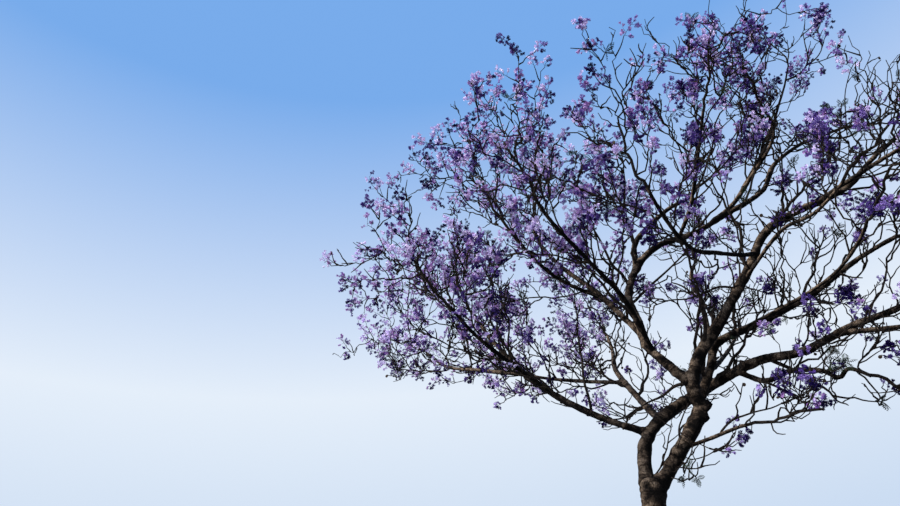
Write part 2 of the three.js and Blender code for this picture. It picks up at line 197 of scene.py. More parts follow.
# Photograph's camera
EYE = np.array([-2.205, -9.85, 1.6])
PITCH = math.radians(36.5)
ROLL = math.radians(-6)
LENS = 27.04
SENSOR_WIDTH = 36.0
PHOTO_WIDTH, PHOTO_HEIGHT = 900, 506
RIGHT = np.array([math.cos(ROLL), -math.sin(PITCH) * math.sin(ROLL),
                  math.cos(PITCH) * math.sin(ROLL)])
FORWARD = np.array([0.0, math.cos(PITCH), math.sin(PITCH)])
ABOVE = np.cross(RIGHT, FORWARD)
FOCAL = LENS / SENSOR_WIDTH * PHOTO_WIDTH

# Clouds of blossom in the photograph: pixel column, pixel row and radius in pixels
CLOUDS = np.array([
    (818, 22, 17), (833, 36, 9), (838, 54, 9), (746, 22, 14), (744, 36, 9), (760, 45, 11),
    (780, 38, 8), (706, 30, 14), (706, 58, 15), (690, 45, 12), (730, 54, 9), (736, 72, 11),
    (728, 86, 8), (768, 80, 16), (794, 62, 12), (800, 88, 12), (815, 76, 8), (756, 132, 15),
    (740, 149, 12), (694, 136, 13), (712, 134, 9), (815, 112, 13), (812, 132, 14), (822, 150, 14),
    (822, 170, 13), (806, 176, 8), (856, 152, 8), (862, 110, 8), (838, 122, 7), (862, 128, 6),
    (648, 98, 13), (650, 114, 11), (664, 62, 9), (672, 116, 7), (756, 106, 9), (785, 185, 10),
    (846, 198, 13), (868, 205, 13), (834, 208, 11), (812, 208, 9), (888, 208, 9), (868, 186, 8),
    (672, 187, 10), (745, 196, 8), (676, 212, 9), (700, 214, 8), (695, 203, 7), (612, 192, 17),
    (634, 196, 13), (618, 206, 9), (650, 232, 12), (615, 242, 14), (633, 262, 9), (708, 238, 9),
    (728, 228, 10), (775, 214, 8), (800, 216, 9), (818, 232, 9), (812, 253, 10), (858, 235, 8),
    (868, 244, 6), (886, 226, 6), (775, 250, 6), (780, 240, 6), (880, 283, 8), (890, 292, 5),
    (850, 296, 13), (812, 307, 9), (768, 329, 12), (785, 328, 9), (864, 314, 12), (890, 350, 12),
    (882, 342, 8), (870, 332, 6), (820, 332, 8), (815, 350, 7), (796, 350, 6), (700, 318, 11),
    (682, 327, 9), (660, 346, 11), (690, 292, 13), (706, 280, 9), (715, 306, 9), (655, 296, 10),
    (640, 284, 8), (768, 282, 10), (745, 280, 8), (785, 283, 7), (735, 270, 8), (760, 271, 7),
    (752, 302, 7), (628, 383, 8), (632, 370, 7), (655, 369, 9), (650, 411, 7), (664, 406, 6),
    (688, 366, 6), (706, 372, 6), (783, 383, 9), (808, 384, 9), (793, 372, 7), (818, 400, 12),
    (800, 408, 8), (836, 411, 7), (756, 387, 7), (730, 394, 6), (742, 428, 10), (762, 428, 11),
    (778, 434, 10), (746, 442, 8), (728, 430, 6), (733, 452, 5), (893, 388, 6), (640, 150, 12),
    (655, 170, 10), (625, 225, 10), (690, 90, 12), (668, 90, 10), (636, 120, 10), (615, 150, 12),
    (645, 210, 10), (620, 270, 10), (612, 300, 9), (650, 330, 8), (668, 300, 8), (720, 104, 9),
    (726, 170, 8), (690, 165, 9),
])
LEAFY_SPOTS = np.array([(842, 358, 13), (830, 348, 7), (790, 168, 9), (694, 476, 12)])
# Open patches of sky in the photograph, told as the clouds are
WINDOWS = np.array([
    (828, 90, 18), (840, 72, 9), (856, 92, 8), (882, 88, 9), (880, 114, 7), (868, 150, 13),
    (843, 152, 7), (885, 188, 12), (878, 168, 9), (842, 250, 15), (790, 258, 12), (820, 262, 12),
    (880, 262, 14), (830, 290, 10), (878, 300, 9), (872, 284, 8), (840, 320, 9), (865, 345, 14),
    (755, 345, 12), (735, 345, 8), (790, 342, 7), (655, 215, 14), (648, 228, 9), (668, 172, 9),
    (665, 330, 11), (720, 208, 14), (722, 264, 9), (672, 264, 9), (790, 240, 8), (650, 178, 8),
])
DISC_REACH, DISC_FADE = 1.3, 0.5  # in radii
WINDOW_SHARE = 0.04  # of twigs kept in an open patch
WINDOW_THINNING = 0.9
VIEW_LEFT = 606  # pixel column right of which this tree's blossom shows alone
# Pixel rows and columns between which blossom is sparse, and how sparse
LOW_ROWS, LOW_THINNING = (190, 270, 365, 395), (0, 1, 1, 0.4)
MIDDLE_ROWS, MIDDLE_COLUMNS, MIDDLE_THINNING = (90, 125, 200, 230), (680, 710), 0.5
# Clumps of blossom on the hidden side: mean, variation, their scale, and limits
CLUMP_MEAN, CLUMP_VARIATION, CLUMP_SCALE, CLUMP_LIMITS = 0.7, 2.2, 1.1, (0.06, 1.3)
# Blossom away from the clouds, and what a cloud adds, where it is thick and where it is sparse
THICK_BLOSSOM, SPARSE_BLOSSOM = (0.07, 1.2), (0.025, 0.5)
SPARSE_VIGOUR = 0.75
# Pixel columns and rows of the line under which the sky is clear
CLEAR_COLUMNS = (430, 560, 610, 680, 700, 720, 740, 790, 840, 900)
CLEAR_ROWS = (395, 415, 470, 488, 480, 462, 456, 444, 420, 398)

# Each limb: its nodes and where they start, the node and share that bear it, foot radius, way
LIMBS = [
    ({"stem_left": 0, "stem_left_arch": 0.14, "bough_low_right": 0.42}, ("trunk", 0.965), 0.1,
     [(0.28, 0.1, 4.65), (0.44, 0.14, 5.15), (0.85, 0.22, 5.53), (1.65, 0.36, 5.95),
      (2.45, 0.05, 6.18), (3, -0.3, 6.1), (3.7, -0.65, 6.26), (4.4, -1, 6.35), (5.5, -1.5, 6.7)]),
    ({"stem_right": 0, "bough_high_right": 0.16}, ("trunk", 0.965), 0.107,
     [(0.86, -0.05, 4.91), (1.28, -0.05, 5.42), (1.24, -0.17, 5.75), (1.45, -0.28, 6.2),
      (2.02, -0.35, 6.83), (2.6, -0.48, 7.53), (3.05, -0.6, 8.14), (3.5, -0.72, 8.38),
      (4.4, -1.08, 8.56), (5, -1.25, 9), (6, -1.65, 9.6)]),
    ({"bough_left": 0, "bough_crown": 0.33, "bough_top_right": 0.66},
     ("bough_high_right", 0.1), 0.075,
     [(0.98, -0.1, 6.24), (0.81, 0, 6.62), (0.79, 0.06, 7.1), (0.79, 0.16, 7.7), (1.1, 0.2, 8.3),
      (1.6, 0.17, 8.7), (2.34, 0.05, 8.84), (3.1, -0.1, 9.3), (3.83, -0.3, 10.18),
      (4.35, -0.5, 10.75)]),
    ({"bough_mid_right": 0}, ("stem_right", 0.78), 0.075,
     [(1.45, 0.06, 5.76), (1.73, 0.1, 6.21), (1.97, 0.1, 6.6), (2.71, 0, 6.83),
      (3.54, -0.25, 7.09), (4.5, -0.55, 7.56), (5.8, -1.05, 7.95)]),
    ({"bough_lowest_right": 0}, ("bough_low_right", 0.03), 0.044,
     [(2.42, 0, 5.82), (2.77, -0.15, 5.87), (3.15, -0.3, 5.76), (3.31, -0.4, 5.58),
      (3.5, -0.47, 5.66), (3.75, -0.8, 5.2)]),
    ({"bough_low_right_fork": 0}, ("bough_low_right", 0.56), 0.04,
     [(4.27, -1, 5.99), (4.6, -1.35, 5.8), (5, -2, 5.75)]),
    ({"branch_low": 0}, ("stem_right", 0.62), 0.028,
     [(1.27, -0.2, 4.95), (1.62, -0.45, 4.98), (1.85, -0.7, 4.93)]),
    ({"bough_high_right_fork": 0}, ("bough_high_right", 0.77), 0.04,
     [(5.2, -1.55, 8.86), (5.5, -2.1, 8.6), (5.9, -2.8, 8.6)]),
    ({"bough_front_right": 0}, ("bough_high_right", 0.42), 0.034,
     [(3.16, -0.9, 7.95), (3.5, -1.5, 7.85), (3.95, -2.3, 8.1)]),
    ({"bough_front_left": 0}, ("bough_high_right", 0.54), 0.036,
     [(2.46, -0.8, 7.65), (1.93, -1.15, 7.5), (1.35, -1.6, 7.35), (0.85, -2.2, 7.7),
      (0.6, -2.6, 8.4)]),
    ({"bough_top_left": 0}, ("bough_top_right", 0.55), 0.036,
     [(4, -0.65, 10.3), (3.8, -1.1, 10.8)]),
    ({"bough_far_right": 0}, ("bough_crown", 0.95), 0.05,
     [(3.64, -0.1, 9.46), (4.2, 0, 10.2), (5.13, 0, 10.75), (5.9, -0.2, 10.7)]),
    ({"bough_upper_front": 0}, ("bough_crown", 0.62), 0.034,
     [(2.1, -0.5, 9), (2.2, -1.3, 9.5), (2.3, -2.2, 10.1)]),
    ({"bough_top_middle": 0}, ("bough_crown", 0.16), 0.055,
     [(1.2, 0.3, 8.85), (1.6, 0.36, 9.3), (2.1, 0.4, 9.7), (2.65, 0.42, 10), (2.9, 0.5, 10.6)]),
    ({"bough_mid_right_low": 0}, ("bough_mid_right", 0.4), 0.03,
     [(3.3, -0.7, 6.9), (3.6, -1.5, 6.95), (3.7, -2.5, 7.2)]),
    ({"bough_mid_right_back": 0}, ("bough_mid_right", 0.52), 0.038,
     [(3.9, 0.3, 7.4), (4.4, 1.1, 7.8), (5.1, 2, 8.2)]),
    ({"bough_west": 0}, ("stem_left_arch", 0.04), 0.056,
     [(-0.25, 0.3, 5.7), (-1, 0.5, 6.4), (-1.6, 0.6, 7.3), (-2.1, 0.75, 8.4)]),
    ({"bough_west_low": 0}, ("bough_west", 0.4), 0.038,
     [(-1.4, 0.1, 6.6), (-2, -0.5, 6.95), (-2.5, -1, 7.5)]),
    ({"bough_west_back": 0}, ("bough_west", 0.6), 0.038,
     [(-1.9, 1.2, 7.1), (-2.5, 1.7, 7.5), (-2.9, 2.1, 8.1)]),
    ({"bough_back": 0}, ("stem_left_arch", 0.2), 0.06,
     [(0.7, 1, 6.2), (0.65, 1.8, 7.1), (0.85, 2.5, 7.9), (0.9, 3, 8.9)]),
    ({"bough_back_left": 0}, ("bough_back", 0.45), 0.038,
     [(0, 2.3, 7.2), (-0.8, 2.7, 7.6), (-1.5, 3, 8.2)]),
    ({"bough_back_right": 0}, ("stem_left_arch", 0.72), 0.06,
     [(1.9, 1.2, 6.5), (2.6, 2, 7.1), (3.3, 2.7, 7.8), (3.8, 3.2, 8.5)]),
    ({"bough_back_low": 0}, ("bough_back_right", 0.36), 0.034,
     [(2, 2.2, 6.6), (2.1, 3, 6.7), (2.3, 3.5, 7)]),
    ({"bough_back_high": 0}, ("bough_back_right", 0.55), 0.038,
     [(2.8, 2.2, 8.3), (2.75, 2.2, 9.1), (3.1, 2.4, 9.9)]),
    ({"bough_upper_left": 0}, ("bough_left", 0.5), 0.052,
     [(0.3, 0.3, 7.9), (-0.2, 0.6, 8.8), (-0.5, 0.7, 9.6), (-0.4, 0.8, 10.4)]),
    ({"bough_inner_left": 0}, ("bough_upper_left", 0.3), 0.034,
     [(-0.4, 0.1, 8.2), (-1, -0.3, 8.8), (-1.4, -0.5, 9.6)]),
    ({"bough_left_front": 0}, ("bough_left", 0.34), 0.04,
     [(0.45, -0.7, 7.1), (-0.1, -1.3, 7.5), (-0.7, -1.9, 8), (-1, -2.2, 8.7)]),
]

# Branches that are told singly: the radius of the foot, and way points
BRANCHES = [
    (0.007, [(0.79, -0.1, 4.7), (0.81, -0.16, 4.57), (0.84, -0.22, 4.47), (0.87, -0.26, 4.39)]),
    (0.024, [(2.32, -0.15, 5.75), (2.47, -0.22, 5.6), (2.55, -0.3, 5.46), (2.62, -0.4, 5.28),
     (2.74, -0.55, 5.16)]),
    (0.018, [(1.38, -0.27, 4.98), (1.57, -0.34, 5.12), (1.75, -0.45, 5.14), (1.89, -0.55, 5.14),
     (2.04, -0.7, 5.11), (2.21, -0.85, 5.13)]),
    (0.008, [(1.07, -0.12, 4.93), (1.22, -0.2, 4.79), (1.35, -0.3, 4.74), (1.5, -0.4, 4.8)]),
    (0.008, [(0.91, -0.1, 4.71), (1.1, -0.2, 4.7), (1.25, -0.3, 4.74), (1.34, -0.38, 4.76)]),
    (0.034, [(1.25, -0.1, 5.87), (1.09, 0.15, 5.95), (0.9, 0.3, 5.87), (0.64, 0.45, 5.83),
     (0.39, 0.6, 5.69)]),
    (0.014, [(0.38, 0.06, 4.58), (0.52, 0.03, 4.7), (0.67, 0, 4.83), (0.86, -0.03, 4.98)]),
    (0.015, [(0.85, -0.08, 4.96), (0.89, -0.06, 5.18), (1.02, -0.03, 5.39), (1.16, 0, 5.58)]),
    (0.012, [(0.6, -0.05, 4.68), (0.75, -0.12, 4.6), (0.92, -0.2, 4.54), (1.03, -0.28, 4.54)]),
    (0.034, [(2.05, 0.05, 6.07), (2.1, 0.03, 6.16), (2.13, 0, 6.25)]),
    (0.024, [(3.89, -0.62, 7.25), (3.97, -0.75, 7.06), (4.06, -0.88, 6.94)]),
    (0.014, [(4.04, -0.8, 7.01), (4.17, -0.85, 7.11), (4.27, -0.9, 7.24)]),
    (0.015, [(3.3, -0.95, 5.47), (3.42, -1, 5.59), (3.56, -1.1, 5.66), (3.71, -1.2, 5.65),
     (3.79, -1.25, 5.87)]),
    (0.01, [(3.24, -0.3, 6.91), (3.46, -0.42, 6.85), (3.63, -0.55, 6.76), (3.81, -0.68, 6.73)]),
    (0.022, [(2.32, -0.43, 7.27), (2.06, -0.5, 7.28), (1.75, -0.58, 7.15), (1.44, -0.65, 7.03),
     (1.14, -0.7, 7.01), (0.85, -0.75, 6.91)]),
    (0.011, [(2.38, -0.42, 7.27), (2.6, -0.4, 7.24), (2.8, -0.38, 7.15), (3.03, -0.36, 7.15),
     (3.26, -0.34, 7.17)]),
    (0.01, [(2.04, -0.33, 6.71), (2.28, -0.33, 6.82), (2.58, -0.33, 6.84), (2.97, -0.25, 6.92)]),
    (0.026, [(0.82, 0.14, 7.53), (1.09, -0.02, 7.7), (1.48, -0.12, 7.95), (1.82, -0.12, 8.23),
     (2.13, -0.02, 8.58)]),
    (0.036, [(3.69, -0.28, 9.97), (3.95, -0.4, 10.32), (4.16, -0.55, 10.67), (4.35, -0.75, 11.04),
     (4.5, -0.9, 11.31), (4.61, -1.05, 11.58), (4.68, -1.15, 11.8), (4.58, -1.2, 12.03),
     (4.45, -1.25, 12.21)]),
    (0.012, [(4.51, -1.22, 12.14), (4.46, -1.25, 12.4), (4.43, -1.3, 12.63), (4.27, -1.3, 12.75),
     (4.06, -1.32, 12.8)]),
    (0.02, [(4.56, -0.98, 11.43), (4.82, -1, 11.52), (5.02, -1.05, 11.69), (5.13, -1.1, 11.92),
     (5.15, -1.18, 12.18), (5.19, -1.25, 12.44)]),
    (0.013, [(5.02, -1.05, 11.69), (5.26, -1.1, 11.83), (5.44, -1.15, 12.05), (5.5, -1.18, 12.32),
     (5.54, -1.2, 12.68)]),
    (0.011, [(5.05, -1.05, 11.72), (5.4, -1, 11.85), (5.74, -0.95, 12.01), (6.05, -0.9, 12.12)]),
    (0.026, [(5.26, -0.02, 10.76), (5.51, -0.03, 10.69), (5.79, -0.04, 10.66), (6.14, -0.06, 10.82),
     (6.33, -0.1, 10.92), (6.55, -0.15, 10.92), (6.83, -0.2, 11.11)]),
    (0.012, [(5.79, -0.04, 10.66), (5.94, -0.1, 11.12), (6.16, -0.15, 11.72), (6.4, -0.2, 12.16),
     (6.62, -0.22, 12.49), (6.8, -0.24, 12.64)]),
    (0.014, [(6.31, -0.1, 10.92), (6.38, -0.12, 11.21), (6.51, -0.2, 11.46), (6.61, -0.25, 11.81),
     (6.78, -0.3, 12.04), (6.99, -0.3, 12.33), (7.17, -0.32, 12.47)]),
    (0.011, [(6.65, -0.18, 10.95), (6.86, -0.25, 11.34), (7.07, -0.3, 11.74), (7.18, -0.35, 12.1),
     (7.24, -0.35, 12.42)]),
    (0.022, [(2.91, 0.42, 10.32), (3.13, 0.25, 10.71), (3.3, 0.05, 11.04), (3.42, -0.15, 11.43),
     (3.66, -0.35, 11.58), (3.95, -0.6, 11.88), (4.2, -0.7, 11.99), (4.42, -0.85, 12.24),
     (4.6, -1, 12.46)]),
    (0.03, [(2.68, 0.43, 10.1), (3.08, 0.38, 10.34), (3.36, 0.33, 10.61), (3.58, 0.28, 10.95),
     (3.79, 0.22, 11.21), (4.06, 0.15, 11.51)]),
    (0.011, [(4.35, -0.75, 11.04), (4.11, -0.7, 10.91), (3.91, -0.6, 10.85), (3.78, -0.5, 11.01),
     (3.78, -0.5, 11.3), (3.9, -0.55, 11.76)]),
    (0.011, [(4.51, -1.12, 8.61), (4.62, -1.1, 8.98), (4.82, -1.08, 9.35), (4.95, -1.05, 9.66)]),
    (0.009, [(4.7, -1.2, 8.69), (4.88, -1.25, 8.71), (5.07, -1.3, 8.79), (5.23, -1.35, 8.88)]),
    (0.013, [(4.12, -0.5, 9.33), (4.18, -0.55, 9.13), (4.31, -0.6, 8.97), (4.46, -0.65, 8.91)]),
]


def span(vectors):
    """Lengths of vectors that lie along the last axis."""
    return np.linalg.norm(vectors, axis=-1)


def unit(vectors):
    vectors = np.asarray(vectors, float)
    return vectors / span(vectors)[..., None]


def mix(a, b, share):
    return a + (b - a) * share


def around(count):
    """Angles evenly spaced round a circle."""
    return np.arange(count) * math.tau / count


def spokes(side, front, angles):
    """Directions at angles round each of several lines."""
    return np.cos(angles)[:, None] * side[:, None] + np.sin(angles)[:, None] * front[:, None]


def handed_out(counts):
    """For things handed out by counts: the receiver of each, and its number there."""
    return (np.repeat(np.arange(len(counts)), counts),
            np.concatenate([np.arange(count) for count in counts]))


class Curve:
    """A smooth line through points, told by shares of its length as the source tells it."""

    STEPS = 200
    SLOPE_STEP = 1e-4

    def __init__(self, points):
        way = np.array(points, float)
        self.points = np.vstack([2 * way[0] - way[1], way, 2 * way[-1] - way[-2]])
        self.times = np.linspace(0, 1, self.STEPS + 1)
        steps = span(np.diff(self.point(self.times), axis=0))
        self.lengths = np.concatenate([[0], np.cumsum(steps)])
        self.length = self.lengths[-1]

    def point(self, times):
        spans = len(self.points) - 3
        place = np.clip(times, 0, 1) * spans
        first = np.minimum(np.asarray(place).astype(int), spans - 1)
        w = np.asarray(place - first)[..., None]
        a, b, c, d = (self.points[first + k] for k in range(4))
        foot_slope, end_slope = (c - a) / 2, (d - b) / 2
        square = 3 * (c - b) - 2 * foot_slope - end_slope
        cube = 2 * (b - c) + foot_slope + end_slope
        return b + w * (foot_slope + w * (square + w * cube))

    def time(self, shares):
        return np.interp(np.asarray(shares) * self.length, self.lengths, self.times)

    def at(self, shares):
        return self.point(self.time(shares))

    def heading(self, shares):
        times = self.time(shares)
        return unit(self.point(times + self.SLOPE_STEP) - self.point(times - self.SLOPE_STEP))

    def frames(self, shares):
        """Headings, and two directions square to each that do not twist along the line."""
        chord = self.point(1) - self.point(0)
        axis = (0, 1, 0) if abs(chord[0]) > abs(chord[1]) else (1, 0, 0)
        heading = self.heading(shares)
        side = unit(np.cross(heading, axis))
        return heading, side, np.cross(side, heading)


def seen_at(points):
    """Pixels of the photograph at which points show."""
    away = points - EYE
    depth = away @ FORWARD
    return np.stack([PHOTO_WIDTH / 2 + FOCAL * (away @ RIGHT) / depth,
                     PHOTO_HEIGHT / 2 - FOCAL * (away @ ABOVE) / depth], axis=-1)


def within(discs, pixels):
    """How far inside the nearest of several discs pixels are: 1 well inside, 0 well outside."""
    away = span(pixels[:, None] - discs[:, :2]) / discs[:, 2]
    return np.clip((DISC_REACH - away.min(axis=1)) / DISC_FADE, 0, 1)


def in_view(pixels):
    """True for pixels in the part of the photograph where this tree's blossom shows alone."""
    return (pixels[:, 0] > VIEW_LEFT) & (pixels[:, 0] < PHOTO_WIDTH) & (pixels[:, 1] > 0)


def kept_by_clouds(points, share_between, share_elsewhere):
    """True for all points that show in a cloud and for a share of the others."""
    pixels = seen_at(points)
    share_between = mix(share_between, WINDOW_SHARE, within(WINDOWS, pixels))
    share_seen = mix(share_between, 1, within(CLOUDS, pixels))
    return rng.uniform(size=len(points)) < np.where(in_view(pixels), share_seen, share_elsewhere)


def in_window(points):
    return within(WINDOWS, seen_at(points)) >= 0.5


def over_clear_sky(points):
    """True for points that would show under the line below which the sky is clear."""
    column, row = np.moveaxis(seen_at(points), -1, 0)
    return row > np.interp(column, CLEAR_COLUMNS, CLEAR_ROWS)


def trunk_radius(share, angle=0.0):
    flare = FLARE_RADIUS * np.exp(-share * FORK[2] / FLARE_FADE)
    lobe = 1 + LOBE_DEPTH * np.cos(FLARE_LOBES * angle)
    return mix(WAIST_RADIUS, FORK_RADIUS, share) + flare * lobe


class Limb:
    """The trunk or one bough: its line, its radius along it and the nodes that it stands for."""

    def __init__(self, nodes, curve, foot=None):
        self.nodes, self.curve, self.foot = nodes, curve, foot
        self.end = LIMB_END if foot else 1
        starts = list(nodes.values())
        starts[1:] = [start + GAP / curve.length for start in starts[1:]]
        self.spans = dict(zip(nodes, zip(starts, list(nodes.values())[1:] + [self.end])))

    def radius(self, share, angle=0.0):
        if self.foot is None:
            return trunk_radius(share, angle)
        return mix(self.foot, TIP_RADIUS, np.asarray(share) ** TAPER_POWER) + 0 * angle


def grown_limbs():
    limbs = [Limb({"trunk": 0}, Curve(TRUNK_WAY))]
    joints = []
    for nodes, (carrier, share), foot, way in LIMBS:
        parent = next(limb for limb in limbs if carrier in limb.nodes)
        origin = parent.curve.at(mix(*parent.spans[carrier], share))
        limb = Limb(nodes, Curve([origin, *way]), foot)
        joints += [(limb, other) for other in limbs
                   if other is parent or np.allclose(other.curve.point(0), origin)]
        limbs.append(limb)
    return limbs, joints


def wood_spots(spacing):
    """Points along every limb, with its radius there."""
    points, radii = [], []
    for limb in limbs:
        for start, end in limb.spans.values():
            count = math.ceil((end - start) * limb.curve.length / spacing)
            shares = np.linspace(start, end, count + 1)
            points.append(limb.curve.at(shares))
            radii.append(limb.radius(shares))
    return np.vstack(points), np.concatenate(radii)


def clear_of_wood(points, margin):
    away = span(points[:, None] - wood[0])
    return (away > wood[1] + margin).all(axis=1)


def has_room(points, margin, owners):
    """True for each point that keeps a margin to its own mass's space and to the wood."""
    away = span(points[:, None] - centres)
    own = away[np.arange(len(points)), owners][:, None]
    apart = span(centres[owners][:, None] - centres)
    is_own = apart == 0
    beyond = (away**2 - own**2) / (2 * np.where(is_own, 1, apart))
    inside = (own[:, 0] + margin <= REACH) & (is_own | (beyond >= margin)).all(axis=1)
    return inside & clear_of_wood(points, margin)


def square_to(headings):
    """Two directions square to each heading, the second as near to upright as it gets."""
    upright = np.abs(headings[..., 2:]) >= UPRIGHT
    side = unit(np.cross(headings, np.where(upright, (1.0, 0, 0), UP)))
    return side, np.cross(side, headings)


def turned(headings, angles, rolls):
    """Headings turned away from others by angles, towards sides told by rolls."""
    side, front = square_to(headings)
    angles, rolls = np.asarray(angles)[..., None], np.asarray(rolls)[..., None]
    away = side * np.cos(rolls) + front * np.sin(rolls)
    return headings * np.cos(angles) + away * np.sin(angles)


def seeded(state):
    """A repeatable stream of numbers between 0 and 1, the source's own."""
    def draw():
        nonlocal state
        state = (state * STREAM_FACTOR + STREAM_STEP) % STREAM_RANGE
        return state / STREAM_RANGE
    return draw


def fork(draw, foot, end, heading, count, spread, stagger, length, add):
    first_roll = draw() * math.tau
    for k in range(count):
        share = END_SHARE + stagger * k
        for attempt in range(TRIES):
            roll = first_roll + (k + ROLL_VARIATION * (draw() - 0.5)) * math.tau / count
            angle = spread * (LEAST_TURN + TURN_VARIATION * draw())
            stretch = 1 + LENGTH_VARIATION * (draw() - 0.5) - TRY_SHORTENING * attempt
            way = unit(turned(heading, angle, roll) + LIFT * UP)
            if add(1 - share, mix(end, foot, share), way, length * stretch):
                break


def grow_mass(owner, draw, stems, twigs, sprays):
    """One mass by the source's rule. Each row has what carries it, the place on that, two ends."""
    hearts = []

    def is_free(point, margin):
        return has_room(point[None], margin, [owner])[0]

    def add_spray(share, foot, heading, length):
        heart = foot + heading * SPRAY_WAIST * SPRAY_LENGTH
        tip = foot + heading * SPRAY_LENGTH
        if not is_free(heart, SPRAY_WIDTH / 2) or not is_free(tip, TWIG_MARGIN):
            return False
        if not is_free(mix(foot, heart, 0.5), SPRAY_WIDTH / 4):
            return False
        if any(span(other - heart) < SPRAY_SPACING for other in hearts):
            return False
        hearts.append(heart)
        sprays.append((owner, len(twigs) - 1, share, foot, tip))
        return True

    def add_twig(share, foot, heading, length):
        end = foot + heading * length
        if not all(is_free(mix(foot, end, share), TWIG_MARGIN) for share in TWIG_CHECKS):
            return False
        twigs.append((owner, len(stems) - 1, share, foot, end))
        fork(draw, foot, end, heading, SPRAY_COUNT, SPRAY_SPREAD, SPRAY_STAGGER, SPRAY_LENGTH,
             add_spray)
        return True

    foot = tips[owner] + headings[owner] * GAP
    end = foot + headings[owner] * STEM_LENGTH
    stems.append((owner, owner, 0, foot, end))
    fork(draw, foot, end, headings[owner], TWIG_COUNT, TWIG_SPREAD, TWIG_STAGGER, TWIG_LENGTH,
         add_twig)


# Meshes from arrays

def added(name, data):
    """A mesh, light or camera as an object of the scene."""
    made = bpy.data.objects.new(name, data)
    bpy.context.scene.collection.objects.link(made)
    return made


def mesh_object(name, points, faces, smooth, grain=None, painted_light=None):
    """A mesh from (n, 3) points and from arrays of faces, one array for each number of corners."""
    mesh = bpy.data.meshes.new(name)
    mesh.from_pydata(points, [], [face for block in faces for face in block.tolist()], not smooth)
    if grain is not None:
        for key, kind, field, values in (("grain", "FLOAT_VECTOR", "vector", grain),
                                         ("painted_light", "FLOAT", "value", painted_light)):
            attribute = mesh.attributes.new(key, kind, "POINT")
            attribute.data.foreach_set(field, values.astype(np.float32).ravel())
    return added(name, mesh)


def placed(piece, material, slot, *nodes):
    piece.data.materials.append(material)
    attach(piece, "root")
    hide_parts(*nodes)
    return piece


def tube_faces(count, rings, sides):
    """Faces of many closed tubes of one kind: walls of quads and a flat face at each end."""
    ring, corner = np.meshgrid(np.arange(rings - 1), np.arange(sides), indexing="ij")
    following = (corner + 1) % sides
    wall = np.stack([ring * sides + corner, ring * sides + following,
                     (ring + 1) * sides + following, (ring + 1) * sides + corner], axis=-1)
    caps = np.stack([np.arange(sides)[::-1], (rings - 1) * sides + np.arange(sides)])
    first = (np.arange(count) * rings * sides)[:, None, None]
    return [(first + wall.reshape(1, -1, 4)).reshape(-1, 4),
            (first + caps[None]).reshape(-1, sides)]


def tubes(lines, foot_radii, end_radii, sides):
    """Closed tubes round (m, n, 3) lines. A radius is one number, or one for each line."""
    feet, tips = (np.broadcast_to(radii, len(lines)) for radii in (foot_radii, end_radii))
    radii = mix(feet[:, None], tips[:, None], np.linspace(0, 1, lines.shape[1])[None])
    headings = unit(np.gradient(lines, axis=1))
    side = square_to(headings[:, 0])[0]
    angles = around(sides)
    rings = []
    for k in range(lines.shape[1]):
        heading = headings[:, k]
        side = unit(side - heading * (side * heading).sum(axis=1, keepdims=True))
        front = np.cross(heading, side)
        rings.append(lines[:, k, None] + spokes(side, front, angles) * radii[:, k, None, None])
    points = np.stack(rings, axis=1).reshape(-1, 3)
    return points, tube_faces(len(lines), lines.shape[1], sides)


def joined(parts):
    """Several (points, faces) sets as one."""
    points = np.vstack([part[0] for part in parts])
    faces, first = [], 0
    for part in parts:
        faces += [block + first for block in part[1]]
        first += len(part[0])
    return points, faces


def scattered(template, origins, headings, rolls, sizes):
    """Copies of one small shape, which lies along its own Y, each placed by its row."""
    shape, shape_faces = template
    side, front = square_to(headings)
    cos, sin = np.cos(rolls)[:, None], np.sin(rolls)[:, None]
    across, above = side * cos + front * sin, front * cos - side * sin
    basis = np.stack([across, headings, above], axis=1) * sizes[:, None, None]
    points = (shape @ basis + origins[:, None]).reshape(-1, 3)
    first = (np.arange(len(origins)) * len(shape))[:, None, None]
    return points, [(first + block[None]).reshape(-1, block.shape[1]) for block in shape_faces]


def spikes(feet, ways, lengths, radius):
    """Thin pointed stalks of three sides."""
    shape = (np.array([[1, 0, 0], [-0.5, 0, 0.866], [-0.5, 0, -0.866], [0, 0, 0]]),
             [np.array([[1, 2, 0], [3, 1, 0], [3, 2, 1], [3, 0, 2]])])
    points, faces = scattered(shape, feet, ways, np.zeros(len(feet)), np.full(len(feet), radius))
    points = points.reshape(len(feet), -1, 3)
    points[:, -1] = feet + ways * lengths[:, None]
    return points.reshape(-1, 3), faces


# Bark

def ripple(points, scale, stretch=1.0):
    """Smooth noise at each point, from -1 to 1, drawn out along the third axis."""
    scaled = points * (scale, scale, scale / stretch)
    return np.array([noise.noise(Vector(point)) for point in scaled])


